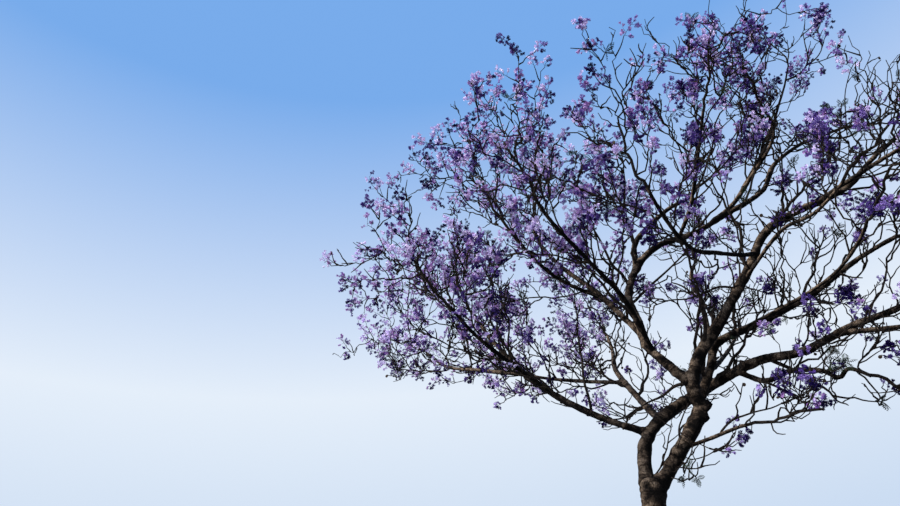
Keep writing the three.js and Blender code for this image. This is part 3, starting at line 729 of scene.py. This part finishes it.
def bark_of(limb, index):
    """Points, outward directions and grain coordinates of a limb's bark, ring by ring."""
    is_trunk = limb.foot is None
    sides, spacing = (TRUNK_SIDES, TRUNK_RING) if is_trunk else (LIMB_SIDES, LIMB_RING)
    rings = math.ceil(limb.end * limb.curve.length / spacing) + 1
    shares = np.linspace(0, limb.end, rings)
    swell = np.zeros(rings)
    if is_trunk:
        shares = np.append(shares, np.ones(DOME_RINGS))
        swell = np.append(swell, np.linspace(0, math.pi / 2, DOME_RINGS + 2)[1:-1])
    angles = around(sides)
    heading, side, front = limb.curve.frames(shares)
    out = spokes(side, front, angles)
    radii = np.broadcast_to(limb.radius(shares[:, None], angles[None]), out.shape[:2])
    radii = radii * np.cos(swell)[:, None]
    rise = (heading * (DOME_HEIGHT * np.sin(swell))[:, None])[:, None]
    centre = limb.curve.at(shares)[:, None] + rise
    slim = np.broadcast_to(limb.radius(shares)[:, None], radii.shape)
    inward = slim * np.cos(swell)[:, None]
    along = (shares * limb.curve.length + DOME_HEIGHT * np.sin(swell))[:, None] + 0 * slim
    grain = np.stack([np.cos(angles) * inward, np.sin(angles) * inward,
                      along + GRAIN_STEP * index], axis=-1)
    return {
        "points": (centre + out * radii[..., None]).reshape(-1, 3),
        "out": out.reshape(-1, 3),
        "grain": grain.reshape(-1, 3),
        "radius": slim.reshape(-1),
        "rise": np.zeros(slim.size),
        "rings": len(shares),
        "sides": sides,
    }


def round_joints():
    """Swells each limb and what carries it where they meet, so that they flow together."""
    for child, parent in joints:
        origin = child.curve.point(0)
        width = COLLAR_SHARE * min(child.foot, parent.foot or FORK_RADIUS)
        reach = COLLAR_MARGIN + COLLAR_REACH * child.foot
        for own, other in ((child, parent), (parent, child)):
            shares = np.arange(0, other.end, COLLAR_SPACING / other.curve.length)
            spots = other.curve.at(shares)
            near_spots = span(spots - origin) < reach + CARRIER_MARGIN
            spots, spot_radii = spots[near_spots], other.radius(shares)[near_spots]
            bark = barks[own]
            near = span(bark["points"] - origin) < reach
            start, out = bark["points"][near], bark["out"][near]
            rise = np.zeros(len(start))
            for _ in range(COLLAR_ROUNDS):
                moved = start + out * rise[:, None]
                away = span(moved[:, None] - spots) - spot_radii
                closeness = np.clip(1 - (away.min(axis=1) - rise) / width, 0, 1)
                rise = width / COLLAR_ROUNDS * closeness**2
            bark["rise"][near] = np.maximum(bark["rise"][near], rise)


# Big scars that show: the limb, a place beside it, and its height and width in the limb's radii
SCARS = [
    ("stem_right", (1.5, -0.2, 5.42), 1.0, 0.55),
    ("stem_right", (1.5, -0.15, 5.22), 0.65, 0.5),
    ("stem_right", (0.6, -0.2, 5.0), 0.35, 0.7),
    ("stem_left", (2.2, 0.1, 6.3), 0.6, 0.45),
    ("stem_left", (0.2, 0.0, 5.1), 0.3, 0.8),
    ("bough_lowest_right", (3.2, -0.3, 5.5), 0.7, 0.8),
    ("bough_left", (0.6, -0.1, 6.6), 0.4, 0.8),
]


def knobs_on(limb):
    """Branch scars: a place along the limb, an angle round it, a height and a width in radii."""
    count = int(limb.curve.length * KNOBS_PER_METRE)
    limits = (KNOB_PLACES, (0, math.tau), KNOB_HEIGHTS, KNOB_WIDTHS)
    knobs = list(zip(*(rng.uniform(*pair, count) for pair in limits)))
    shares = np.linspace(0, LIMB_END, SCAR_TRIES)
    for name, place, height, width in SCARS:
        if name in limb.nodes:
            away = np.array(place) - limb.curve.at(shares)
            nearest = np.argmin(span(away))
            _, side, front = limb.curve.frames(shares[nearest])
            angle = math.atan2(away[nearest] @ front, away[nearest] @ side)
            knobs.append((shares[nearest], angle, height, width))
    return knobs


def relief_of(limb, bark):
    """How far the bark stands out or in: slow swellings, lumps, ridges along it and scars."""
    points, grain, radius = bark["points"], bark["grain"], bark["radius"]
    relief = SWELLING_DEPTH * radius * ripple(grain, *SWELLINGS)
    relief += LUMP_DEPTH * radius * ripple(points + LUMP_START, *LUMPS)
    ridges = 1 - np.abs(ripple(grain, *RIDGES))
    plates = ripple(grain + PLATE_START, *PLATES)
    creases = (1 - np.abs(ripple(grain + CREASE_START, *CREASES))) ** CREASE_SHARPNESS
    relief -= CREASE_DEPTH * radius * creases
    depth = np.where(radius > THICK, *RIDGE_DEPTHS)
    relief += depth * (ridges - RIDGE_LEVEL) + PLATE_SHARE * depth * plates
    if limb.foot is not None:
        angles = np.arctan2(grain[:, 1], grain[:, 0])
        along = grain[:, 2] % GRAIN_STEP
        for share, angle, height, width in knobs_on(limb):
            girth = limb.radius(share)
            turn = (angles - angle + math.pi) % math.tau - math.pi
            beside = np.hypot(turn * girth, along - share * limb.curve.length)
            relief += height * girth * np.exp(-(beside / (width * girth)) ** 2)
    return relief


# Twigs

GOLDEN_ANGLE = math.pi * (3 - math.sqrt(5))
SHOOT_SPREAD, SHOOT_VARIATION = 0.9, (0.7, 1.3)
SHOOT_LIFT = 0.25
BRANCH_SPREADS = (0.6, 1.15)
BRANCH_LIFT = 0.35
# Points along each line, and radii of foot and end
STEM_POINTS = 12
SPRAY_POINTS = 10
BRANCH_POINTS = 15
SPUR_POINTS = 8
FINE_POINTS = 5
AXIS_POINTS = 3
TWIG_END_SHARE = 0.6
SPRAY_FOOT_SHARE, LEAST_SPRAY_FOOT, SPRAY_END = 0.62, 0.008, 0.005
BRANCH_FOOT_SHARE, BRANCH_FOOT_RANGE, BRANCH_END = 0.46, (0.014, 0.034), 0.008
SPUR_RADII = (0.0158, 0.0078)
FINE_RADII = (0.0128, 0.0062)
AXIS_RADII = (0.0045, 0.002)
# Branches and spurs on a limb: their spacing, and the share of the limb's length that is bare
BRANCH_SPACING, BRANCH_LOW = 0.48, 0.2
SPUR_SPACING, SPUR_LOW = 0.36, 0.26
MAIN_FOOT = 0.09  # limbs with a thinner foot are bare for half as far
BRANCH_LENGTHS = (2.4, 1.2)  # at a limb's foot and at its tip
BRANCH_VARIATION = (0.75, 1.2)
SPUR_LENGTHS = (0.35, 1.0)
BRANCH_MARGIN, SPUR_MARGIN, MIDDLE_MARGIN = 0.05, 0.06, 0.02  # to the wood
MIDDLE = 5  # point of a spur that keeps the last of these
FINE_MARGIN, MASS_MARGIN = 0.1, 0.08  # of finer shoots, to the wood and in their mass's space
BOX_MARGIN = 0.3  # from the source's box to the ends of branches and spurs
FOOTHOLDS = 60  # places on a single branch that a later one may grow from


def wound(feet, ends, count, bend, sag):
    """Crooked lines of count points from feet to ends, which sag and then hook upwards."""
    share = np.linspace(0, 1, count)[None, :, None]
    length = span(ends - feet)[:, None, None]
    walk = np.cumsum(rng.normal(size=(len(feet), count, 3)), axis=1)
    walk -= walk[:, :1]
    sway = (walk - share * walk[:, -1:]) * bend / count
    sway[..., 2:] -= sag * np.sin(math.pi * share)
    return mix(feet[:, None], ends[:, None], share) + length * sway


def places_on(lines, rows, shares):
    """Points and headings at shares of the chosen lines."""
    last = lines.shape[1] - 1
    place = np.clip(shares, 0, 1) * last
    first = np.minimum(place.astype(int), last - 1)
    a, b = lines[rows, first], lines[rows, first + 1]
    return mix(a, b, (place - first)[:, None]), unit(b - a)


def shoots(origins, ways, lengths, count, hook, curl, kink):
    """Crooked lines that leave origins along ways and bend upwards, each with its own curl."""
    share = np.linspace(0, 1, count - 1)[None, :, None]
    turn = unit(ways + hook * UP + rng.normal(size=ways.shape) * curl)[:, None]
    steps = mix(ways[:, None], turn, share)
    steps = unit(steps + rng.normal(size=steps.shape) * kink)
    lines = np.cumsum(steps, axis=1) * (lengths / (count - 1))[:, None, None]
    return np.concatenate([origins[:, None], origins[:, None] + lines], axis=1)


def side_shoots(lines, each, lengths, count, low, high=0.95):
    """Shoots at staggered places on every line: the row that each leaves, and the lines."""
    rows, order = handed_out(np.full(len(lines), each))
    shares = mix(low, high, (order + rng.uniform(0, 1, len(rows))) / each)
    origins, along = places_on(lines, rows, shares)
    rolls = order * GOLDEN_ANGLE + np.repeat(rng.uniform(0, math.tau, len(lines)), each)
    ways = turned(along, SHOOT_SPREAD * rng.uniform(*SHOOT_VARIATION, len(rows)), rolls)
    ways = unit(ways + SHOOT_LIFT * UP)
    return rows, shoots(origins, ways, rng.uniform(*lengths, len(rows)), count, hook=0.5,
                        curl=0.3, kink=0.2)


def inside_crown(points, margin=0.0):
    low, high = np.array(CAD_BOX[0]) + margin, np.array(CAD_BOX[1]) - margin
    return ((points > low) & (points < high)).all(axis=1)


def single_branches():
    """The branches told singly, each from the nearest limb or from a branch before it."""
    points, radii = wood
    lines = []
    for _, way in BRANCHES:
        nearest = np.argmin(span(points - way[0]) - radii)
        curve = Curve([points[nearest], *way])
        lines.append(curve.at(np.linspace(0, 1, BRANCH_POINTS)))
        points = np.vstack([points, curve.at(np.linspace(0, 1, FOOTHOLDS))])
        radii = np.append(radii, np.zeros(FOOTHOLDS))
    return lines


def columns(rows):
    """A level's masses, carriers, places on them, feet and ends, as arrays."""
    return [np.array(column) for column in zip(*rows)]


rng = np.random.default_rng(SEED)
limbs, joints = grown_limbs()
barks = {limb: bark_of(limb, index) for index, limb in enumerate(limbs)}
round_joints()

wood = wood_spots(WOOD_SPACING)
bearers = limbs[1:]
tips = np.array([limb.curve.at(LIMB_END) for limb in bearers])
headings = np.array([limb.curve.heading(LIMB_END) for limb in bearers])
tip_radii = np.array([limb.radius(LIMB_END) for limb in bearers])
centres = tips + headings * REACH * CENTRE_SHARE
mass_nodes = ["blossom_" + list(limb.nodes)[-1] for limb in bearers]

stem_rows, twig_rows, spray_rows = [], [], []
for index in range(len(bearers)):
    grow_mass(index, seeded(SEED * (index + 1) % STREAM_RANGE), stem_rows, twig_rows, spray_rows)
stem_mass, _, _, stem_feet, stem_ends = columns(stem_rows)
twig_mass, twig_stem, twig_share, _, twig_ends = columns(twig_rows)
spray_mass, spray_twig, spray_share, _, spray_ends = columns(spray_rows)

stems = wound(stem_feet - headings * STEM_ROOT, stem_ends, STEM_POINTS, bend=0.25, sag=0)
twig_feet = places_on(stems, twig_stem, twig_share)[0]
twigs = wound(twig_feet, twig_ends, STEM_POINTS, bend=0.45, sag=0.06)
spray_feet = places_on(twigs, spray_twig, spray_share)[0]
sprays = wound(spray_feet, spray_ends, SPRAY_POINTS, bend=0.5, sag=0.05)

kept_twigs = ~over_clear_sky(twigs[:, -1])
kept_sprays = kept_twigs[spray_twig] & ~over_clear_sky(sprays[:, -1]) & ~in_window(sprays[:, -1])
twig_radii = tip_radii[twig_mass] * THINNING * NARROWING
spray_radii = np.maximum(twig_radii[spray_twig] * SPRAY_FOOT_SHARE, LEAST_SPRAY_FOOT)
twigs, twig_mass, twig_radii = (rows[kept_twigs] for rows in (twigs, twig_mass, twig_radii))
sprays, spray_mass, spray_radii = (rows[kept_sprays] for rows in (sprays, spray_mass, spray_radii))

# Branches between the boughs and the twigs, and spurs on both
branch_rows, spur_rows = [], []
branch_radii, branch_lengths = [], []
for limb in bearers:
    for rows, spacing, low in ((branch_rows, BRANCH_SPACING, BRANCH_LOW),
                               (spur_rows, SPUR_SPACING, SPUR_LOW)):
        low = low if limb.foot > MAIN_FOOT else low / 2
        count = int(limb.curve.length * (LIMB_END - low) / spacing)
        shares = mix(low, LIMB_END, (np.arange(count) + rng.uniform(0, 1, count)) / count)
        rolls = np.arange(count) * GOLDEN_ANGLE + rng.uniform(0, 6)
        ways = turned(limb.curve.heading(shares), rng.uniform(*BRANCH_SPREADS, count), rolls)
        rows.append((limb.curve.at(shares), unit(ways + BRANCH_LIFT * UP)))
        if rows is branch_rows:
            radii = BRANCH_FOOT_SHARE * limb.radius(shares)
            branch_radii.append(np.clip(radii, *BRANCH_FOOT_RANGE))
            lengths = mix(*BRANCH_LENGTHS, shares)
            branch_lengths.append(lengths * rng.uniform(*BRANCH_VARIATION, count))
branches = shoots(*map(np.vstack, zip(*branch_rows)), np.concatenate(branch_lengths),
                  BRANCH_POINTS, hook=0.35, curl=0.5, kink=0.2)
fits = np.all([clear_of_wood(points, BRANCH_MARGIN) & inside_crown(points, BOX_MARGIN)
               for points in np.moveaxis(branches[:, 4::2], 1, 0)], axis=0)
fits &= ~over_clear_sky(branches[:, -1]) & ~in_window(branches[:, -1]) & ~in_window(branches[:, -4])
branches = np.vstack([branches[fits], single_branches()])
branch_radii = np.append(np.concatenate(branch_radii)[fits], [radius for radius, _ in BRANCHES])

spur_feet, spur_ways = map(np.vstack, zip(*spur_rows))
spurs = np.vstack([
    shoots(spur_feet, spur_ways, rng.uniform(*SPUR_LENGTHS, len(spur_feet)), SPUR_POINTS,
           hook=0.5, curl=0.45, kink=0.22),
    side_shoots(branches, 5, (0.3, 0.75), SPUR_POINTS, low=0.25, high=1.0)[1],
])
spur_ends = spurs[:, -1]
spurs = spurs[clear_of_wood(spur_ends, SPUR_MARGIN) & inside_crown(spur_ends, BOX_MARGIN)
              & clear_of_wood(spurs[:, MIDDLE], MIDDLE_MARGIN) & ~over_clear_sky(spur_ends)
              & kept_by_clouds(spur_ends, share_between=0.5, share_elsewhere=1)]

# Finer shoots. A row: lines, masses, shoots on each line, their lengths, bare share, blossom chance
fine_parts = []
for lines, masses, each, lengths, low, chance in (
    (stems, stem_mass, 5, (0.25, 0.6), 0.2, 0.4),
    (twigs, twig_mass, 5, (0.22, 0.5), 0.2, 0.5),
    (sprays, spray_mass, 6, (0.13, 0.32), 0.25, 0.95),
    (branches, None, 5, (0.2, 0.45), 0.3, 0.4),
    (spurs, None, 3, (0.14, 0.36), 0.35, 0.6),
):
    rows, found = side_shoots(lines, each, lengths, FINE_POINTS, low)
    if masses is None:
        fits = clear_of_wood(found[:, -1], FINE_MARGIN) & inside_crown(found[:, -1])
    else:
        fits = has_room(found[:, -1], MASS_MARGIN, masses[rows])
    fits &= ~over_clear_sky(found[:, -1])
    fits &= kept_by_clouds(found[:, -1], share_between=0.3, share_elsewhere=0.95)
    fine_parts.append((found[fits], chance))
fine = np.vstack([lines for lines, _ in fine_parts])

# Ends that may bear something, with the chance that it is blossom
bearing = [(sprays, SPRAY_CHANCE), (branches, BRANCH_CHANCE), (spurs, SPUR_CHANCE), *fine_parts]
ends = np.vstack([lines[:, -1] for lines, _ in bearing])
end_ways = unit(np.vstack([lines[:, -1] - lines[:, -3] for lines, _ in bearing]))
chances = np.concatenate([np.full(len(lines), chance) for lines, chance in bearing])
pixels = seen_at(ends + PANICLE_MIDDLE * end_ways)
cloudy = within(CLOUDS, pixels)
sparse = np.maximum(np.interp(pixels[:, 0], MIDDLE_COLUMNS, (0, MIDDLE_THINNING))
                    * np.interp(pixels[:, 1], MIDDLE_ROWS, (0, 1, 1, 0)),
                    np.interp(pixels[:, 1], LOW_ROWS, LOW_THINNING))
seen_chance = mix(THICK_BLOSSOM[0] + THICK_BLOSSOM[1] * cloudy,
                  SPARSE_BLOSSOM[0] + SPARSE_BLOSSOM[1] * cloudy, sparse)
seen_chance *= 1 - WINDOW_THINNING * (within(WINDOWS, pixels) * (1 - cloudy))
hidden_chance = CLUMP_MEAN + CLUMP_VARIATION * ripple(ends, CLUMP_SCALE)
clumps = np.where(in_view(pixels), seen_chance, np.clip(hidden_chance, *CLUMP_LIMITS))
in_leaf = within(LEAFY_SPOTS, seen_at(ends)) > 0.5
blooming = (rng.uniform(size=len(ends)) < chances * clumps) & ~in_leaf & inside_crown(ends)
kind = rng.uniform(size=len(ends))
podded = ~blooming & (kind < POD_CHANCE)
leafy = ~blooming & ((kind > 1 - LEAF_CHANCE) | in_leaf)

# Panicles: a short axis with branchlets, which carry the flowers
vigour = rng.uniform(*VIGOURS, blooming.sum()) * np.where(
    in_view(pixels[blooming]), mix(1, SPARSE_VIGOUR, sparse[blooming]), 1)
axes = shoots(ends[blooming] - end_ways[blooming] * 0.01, end_ways[blooming],
              PANICLE_LENGTH * vigour, AXIS_POINTS, hook=0.2, curl=0.3, kink=0.15)
each = rng.integers(*BRANCHLETS, len(axes))
panicle, order = handed_out(each)
place = (order + rng.uniform(0, 1, len(order))) / each[panicle]
branchlet_feet, along = places_on(axes, panicle, place)
branchlet_ways = turned(along, rng.uniform(*BRANCHLET_SPREADS, len(panicle)),
                        order * GOLDEN_ANGLE + panicle)
branchlet_ways = unit(branchlet_ways + rng.normal(size=along.shape) * 0.15)
branchlet_lengths = vigour[panicle] * rng.uniform(*BRANCHLET_LENGTHS, len(panicle))
branchlet_lengths *= mix(1.1, 0.6, place)

# Flowers: a trumpet of five petals, each a little twisted
turns = np.repeat(around(PETALS), 2) + np.tile([-PETAL_HALF_WIDTH, PETAL_HALF_WIDTH], PETALS)
rim = np.stack([MOUTH_RADIUS * np.cos(turns), np.tile([0.85, 1.0], PETALS),
                MOUTH_RADIUS * np.sin(turns)], axis=1)
corner = 1 + 2 * np.arange(PETALS)
FLOWER = (np.vstack([[0, 0, 0], rim]),
          [np.stack([np.zeros(PETALS, int), corner, corner + 1], axis=1)])

each = rng.integers(*FLOWERS, len(panicle))
branchlet, order = handed_out(each)
place = 1 - FLOWER_STAGGER * order / each[branchlet]
flower_feet = (branchlet_feet[branchlet]
               + branchlet_ways[branchlet] * (branchlet_lengths[branchlet] * place)[:, None])
bends = rng.uniform(*FLOWER_SPREADS, len(order)) * (order > 0)
flower_ways = turned(branchlet_ways[branchlet], bends, rng.uniform(0, math.tau, len(order)))
flower_ways = unit(flower_ways - FLOWER_DROOP * UP + rng.normal(size=flower_ways.shape) * 0.1)
flower_sizes = rng.uniform(*FLOWER_SIZES, len(order))


# Materials

def node_material(name, roughness):
    material = bpy.data.materials.new(name)
    material.use_nodes = True
    shader = material.node_tree.nodes["Principled BSDF"]
    shader.inputs["Roughness"].default_value = roughness
    shader.inputs["Specular IOR Level"].default_value = 0.08
    return material, material.node_tree, shader


def fill(tree, socket, value):
    """Gives a socket its own value, or links it to another socket."""
    if isinstance(value, bpy.types.NodeSocket):
        tree.links.new(value, socket)
    else:
        socket.default_value = value


def node(tree, kind, *sockets, **named):
    """A node, with sockets filled by order and by name. Other names are its options."""
    made = tree.nodes.new("ShaderNode" + kind)
    for key, value in [*named.items(), *enumerate(sockets)]:
        if key in named and key not in made.inputs:
            setattr(made, key, value)
        else:
            fill(tree, made.inputs[key], value)
    return made


def ramp(tree, source, *stops):
    made = node(tree, "ValToRGB", Fac=source)
    elements = made.color_ramp.elements
    while len(elements) < len(stops):
        elements.new(1)
    for element, (position, colour) in zip(elements, stops):
        element.position = position
        element.color = (*colour, 1)
    return made.outputs["Color"]


def noise_at(tree, place, scale, detail, roughness):
    return node(tree, "TexNoise", Vector=place, Scale=scale, Detail=detail,
                Roughness=roughness).outputs["Fac"]


def multiplied(tree, share, a, b):
    made = node(tree, "Mix", data_type="RGBA", blend_type="MULTIPLY")
    for index, value in ((0, share), (6, a), (7, b)):
        fill(tree, made.inputs[index], value)
    return made.outputs[2]


def add_bumps(tree, shader, *layers):
    """Bumps laid over each other, each told by its height, strength and distance."""
    below = {}
    for height, strength, distance in layers:
        bump = node(tree, "Bump", Height=height, Strength=strength, Distance=distance, **below)
        below = {"Normal": bump.outputs["Normal"]}
    tree.links.new(below["Normal"], shader.inputs["Normal"])


def bark_material(name, fissure_scale, depth):
    """Fissured bark: dark furrows and creases, and painted light: tan plates on the side that faces
    the sun, near black on the side away from it, painted shade.
    """
    material, tree, shader = node_material(name, 0.88)
    grain = node(tree, "Attribute", attribute_name="grain").outputs["Vector"]
    painted_light = node(tree, "Attribute", attribute_name="painted_light").outputs["Fac"]
    drawn_out = node(tree, "Mapping", Vector=grain, Scale=(1, 1, 0.42)).outputs["Vector"]
    warp = node(tree, "TexNoise", Vector=grain, Scale=14, Detail=3).outputs["Color"]
    shifted = node(tree, "VectorMath", warp, (0.05, 0.05, 0.05), drawn_out,
                   operation="MULTIPLY_ADD").outputs["Vector"]
    cracks = node(tree, "TexVoronoi", feature="DISTANCE_TO_EDGE", Vector=shifted,
                  Scale=fissure_scale).outputs["Distance"]
    patches = noise_at(tree, grain, scale=5.5, detail=5, roughness=0.62)
    speckle = noise_at(tree, grain, scale=95, detail=4, roughness=0.7)
    across = node(tree, "Mapping", Vector=grain, Scale=(5, 5, 27)).outputs["Vector"]
    folds = noise_at(tree, across, scale=1, detail=4, roughness=0.6)
    # Paleness: random patches, plus painted light on the sunward side and painted shade on the side
    # away
    paleness = node(tree, "Math", patches, painted_light, operation="ADD")
    colour = ramp(tree, paleness.outputs["Value"], *PLATE_TONES)
    for share, source, tones in ((1, cracks, FURROW_TONES), (0.9, folds, WRINKLE_TONES),
                                 (0.8, speckle, SPECKLE_TONES)):
        colour = multiplied(tree, share, colour, ramp(tree, source, *tones))
    tree.links.new(colour, shader.inputs["Base Color"])
    rise = node(tree, "MapRange", Value=cracks, **{"From Max": 0.16}).outputs["Result"]
    add_bumps(tree, shader, (rise, 0.9, depth), (folds, 0.8, 0.012), (speckle, 0.7, 0.003))
    return material


def mottled_material(name, roughness, scale, dark, light):
    """A base colour that drifts between two tones."""
    material, tree, shader = node_material(name, roughness)
    place = node(tree, "TexCoord").outputs["Object"]
    drift = noise_at(tree, place, scale, detail=3, roughness=0.6)
    tree.links.new(ramp(tree, drift, (0.34, dark), (0.66, light)), shader.inputs["Base Color"])
    add_bumps(tree, shader, (drift, 0.5, 0.0015))
    return material


trunk_bark = bark_material("trunk_bark", fissure_scale=46, depth=0.012)
bough_bark = bark_material("bough_bark", fissure_scale=62, depth=0.007)
twig_bark = mottled_material("twig_bark", 0.85, 22, (0.004, 0.003, 0.0028), (0.032, 0.024, 0.019))
leaf_green = mottled_material("leaf_green", 0.6, 9, (0.005, 0.01, 0.005), (0.022, 0.036, 0.012))
pod_brown = mottled_material("pod_brown", 0.7, 30, (0.022, 0.014, 0.01), (0.07, 0.045, 0.03))

# Pieces
for limb, bark in barks.items():
    points = bark["points"] + bark["out"] * (bark["rise"] + relief_of(limb, bark))[:, None]
    if limb.foot is None:
        points[:, 2] = np.maximum(points[:, 2], 0)
        points[:bark["sides"], 2] = 0
    # Painted light and painted shade: paler towards the sun, darker away from it, more so high up
    gain = np.interp(points[:, 2], PAINTED_LIGHT_HEIGHTS, PAINTED_LIGHT_GAIN)
    painted_light = gain * (bark["out"] @ unit(PAINTED_LIGHT_SIDE)) + PAINTED_LIGHT_LEVEL
    piece = mesh_object("bark_" + list(limb.nodes)[0], points,
                        tube_faces(1, bark["rings"], bark["sides"]), True, bark["grain"], painted_light)
    if limb.foot is None:
        placed(piece, trunk_bark, "trunk_bark", *limb.nodes)
    else:
        placed(piece, bough_bark, "bough_bark", *limb.nodes)

branch_parts = [
    tubes(stems, tip_radii, tip_radii * THINNING, sides=8),
    tubes(twigs, twig_radii, twig_radii * TWIG_END_SHARE, sides=6),
    tubes(sprays, spray_radii, SPRAY_END, sides=5),
    tubes(branches, branch_radii, BRANCH_END, sides=7),
    tubes(spurs, *SPUR_RADII, sides=4),
]
thin_parts = [tubes(fine, *FINE_RADII, sides=3), tubes(axes, *AXIS_RADII, sides=3)]
stalks = spikes(branchlet_feet, branchlet_ways, branchlet_lengths, STALK_RADIUS)
for name, shape in (("branches", joined(branch_parts)), ("fine_twigs", joined(thin_parts)),
                    ("flower_stalks", stalks)):
    placed(mesh_object(name, *shape, True), twig_bark, "twig_bark", *mass_nodes)

# Each branchlet takes one shade: paler towards the sun, painted light, and deeper where the crown
# is shaded and in thick clouds, painted shade, with random tone besides
lit = branchlet_ways @ unit(SUN_FROM)
shaded = (np.interp(branchlet_feet[:, 0], SHADED_FROM, (0, 1))
          * np.interp(branchlet_feet[:, 2], SHADED_UNDER, (1, 0)))
tone = (MEAN_TONE + SUN_TONE * lit + SHADE_TONE * shaded
        + CLOUD_SHADE_TONE * (cloudy * in_view(pixels))[blooming][panicle]
        + PANICLE_TONE * rng.normal(size=len(axes))[panicle]
        + BRANCHLET_TONE * rng.normal(size=len(panicle)))
shade = np.searchsorted(TONE_STEPS, tone)
mauve_chance = np.interp(branchlet_feet[:, 0], MAUVE_PLACES, MAUVE_CHANCES)
shade += (shade == 3) | ((shade == 2) & (rng.uniform(size=len(panicle)) < mauve_chance))
for index, (name, colour) in enumerate(SHADES.items()):
    chosen = shade[branchlet] == index
    shape = scattered(FLOWER, flower_feet[chosen], flower_ways[chosen],
                      rng.uniform(0, math.tau, chosen.sum()), flower_sizes[chosen])
    dark, light = (tuple(np.array(colour) * gain) for gain in (0.82, 1.16))
    petals = mottled_material(name, 0.55, 16, dark, light)
    placed(mesh_object(name, *shape, False), petals, "blossom", *mass_nodes)

# Fronds: a bent midrib with two rows of narrow leaflets
frond_points, frond_faces = [], []
for k in range(LEAFLET_PAIRS):
    along = 0.16 + 0.8 * k / (LEAFLET_PAIRS - 1)
    size = LEAFLET_LENGTH * math.sin(math.pi * mix(0.25, 0.93, k / (LEAFLET_PAIRS - 1)))
    for hand in (-1, 1):
        x, y = hand * size * 0.5, along + 0.2 * size
        first = len(frond_points)
        frond_points += [(0, along, 0), (x, y - LEAFLET_HALF_WIDTH, 0),
                         (2 * x, along + 0.45 * size, 0), (x, y + LEAFLET_HALF_WIDTH, 0)]
        frond_faces.append([first + c for c in ((0, 1, 2, 3) if hand > 0 else (3, 2, 1, 0))])
first = len(frond_points)
frond_points = np.array([*frond_points, (-0.02, 0, 0), (0.02, 0, 0), (0, 1, 0)], float)
frond_points[:, 2] = -0.35 * frond_points[:, 1] ** 2 - 0.25 * np.abs(frond_points[:, 0])
FROND = (frond_points, [np.array(frond_faces), np.array([[first, first + 1, first + 2]])])
leaf_feet = np.repeat(ends[leafy], FRONDS, axis=0)
leaf_ways = np.repeat(end_ways[leafy], FRONDS, axis=0)
leaf_ways = unit(leaf_ways + rng.normal(size=leaf_feet.shape) * 0.9)
shape = scattered(FROND, leaf_feet, leaf_ways, rng.normal(size=len(leaf_feet)) * 1.2,
                  rng.uniform(*FROND_SIZES, len(leaf_feet)))
placed(mesh_object("leaves", *shape, False), leaf_green, "leaf", *mass_nodes)

# Seed pods: flat round cases, a little pointed, which hang from their ends
turns = around(POD_SIDES)
rim = np.stack([0.5 * np.sin(turns), 0.5 - 0.5 * np.cos(turns), 0.06 * np.sin(2 * turns)], axis=1)
corner = np.arange(POD_SIDES)
following = (corner + 1) % POD_SIDES
POD = (np.vstack([rim, [[0, 0.5, POD_HALF_THICKNESS], [0, 0.5, -POD_HALF_THICKNESS]]]), [
    np.stack([corner, following, np.full(POD_SIDES, POD_SIDES)], axis=1),
    np.stack([following, corner, np.full(POD_SIDES, POD_SIDES + 1)], axis=1),
])
pod_feet = ends[podded]
pod_ways = unit(end_ways[podded] * 0.4 - UP + rng.normal(size=pod_feet.shape) * 0.3)
shape = scattered(POD, pod_feet, pod_ways, rng.uniform(0, math.pi, len(pod_feet)),
                  rng.uniform(*POD_SIZES, len(pod_feet)))
placed(mesh_object("seed_pods", *shape, False), pod_brown, "seed_pod", *mass_nodes)

# Floor, light and camera
corners = np.array([[-1, -1, 0], [1, -1, 0], [1, 1, 0], [-1, 1, 0]]) * FLOOR_SIZE / 2
floor = mesh_object("floor", corners, [np.array([[0, 1, 2, 3]])], False)
material, _, shader = node_material("floor_pale", 0.9)
shader.inputs["Base Color"].default_value = FLOOR_COLOUR
floor.data.materials.append(material)

world = bpy.data.worlds.new("pale_sky")
bpy.context.scene.world = world
world.use_nodes = True
tree = world.node_tree
height = node(tree, "SeparateXYZ", Vector=node(tree, "TexCoord").outputs["Generated"]).outputs["Z"]
tree.links.new(ramp(tree, height, *SKY_TONES), tree.nodes["Background"].inputs["Color"])

sun = bpy.data.lights.new("sun", "SUN")
sun.energy, sun.angle, sun.color = SUN_STRENGTH, SUN_WIDTH, SUN_COLOUR
sun_object = added("sun", sun)
sun_object.rotation_mode = "QUATERNION"
sun_object.rotation_quaternion = Vector(SUN_FROM).to_track_quat("Z", "Y")

camera = bpy.data.cameras.new("camera")
camera.sensor_width = SENSOR_WIDTH
camera.lens = LENS
camera.clip_end = 400
camera_object = added("camera", camera)
camera_object.matrix_world = Matrix.Translation(EYE) @ Matrix(
    (RIGHT, ABOVE, -FORWARD)).transposed().to_4x4()
bpy.context.scene.camera = camera_object
bpy.context.scene.view_settings.view_transform = "Standard"

bpy.context.view_layer.update()
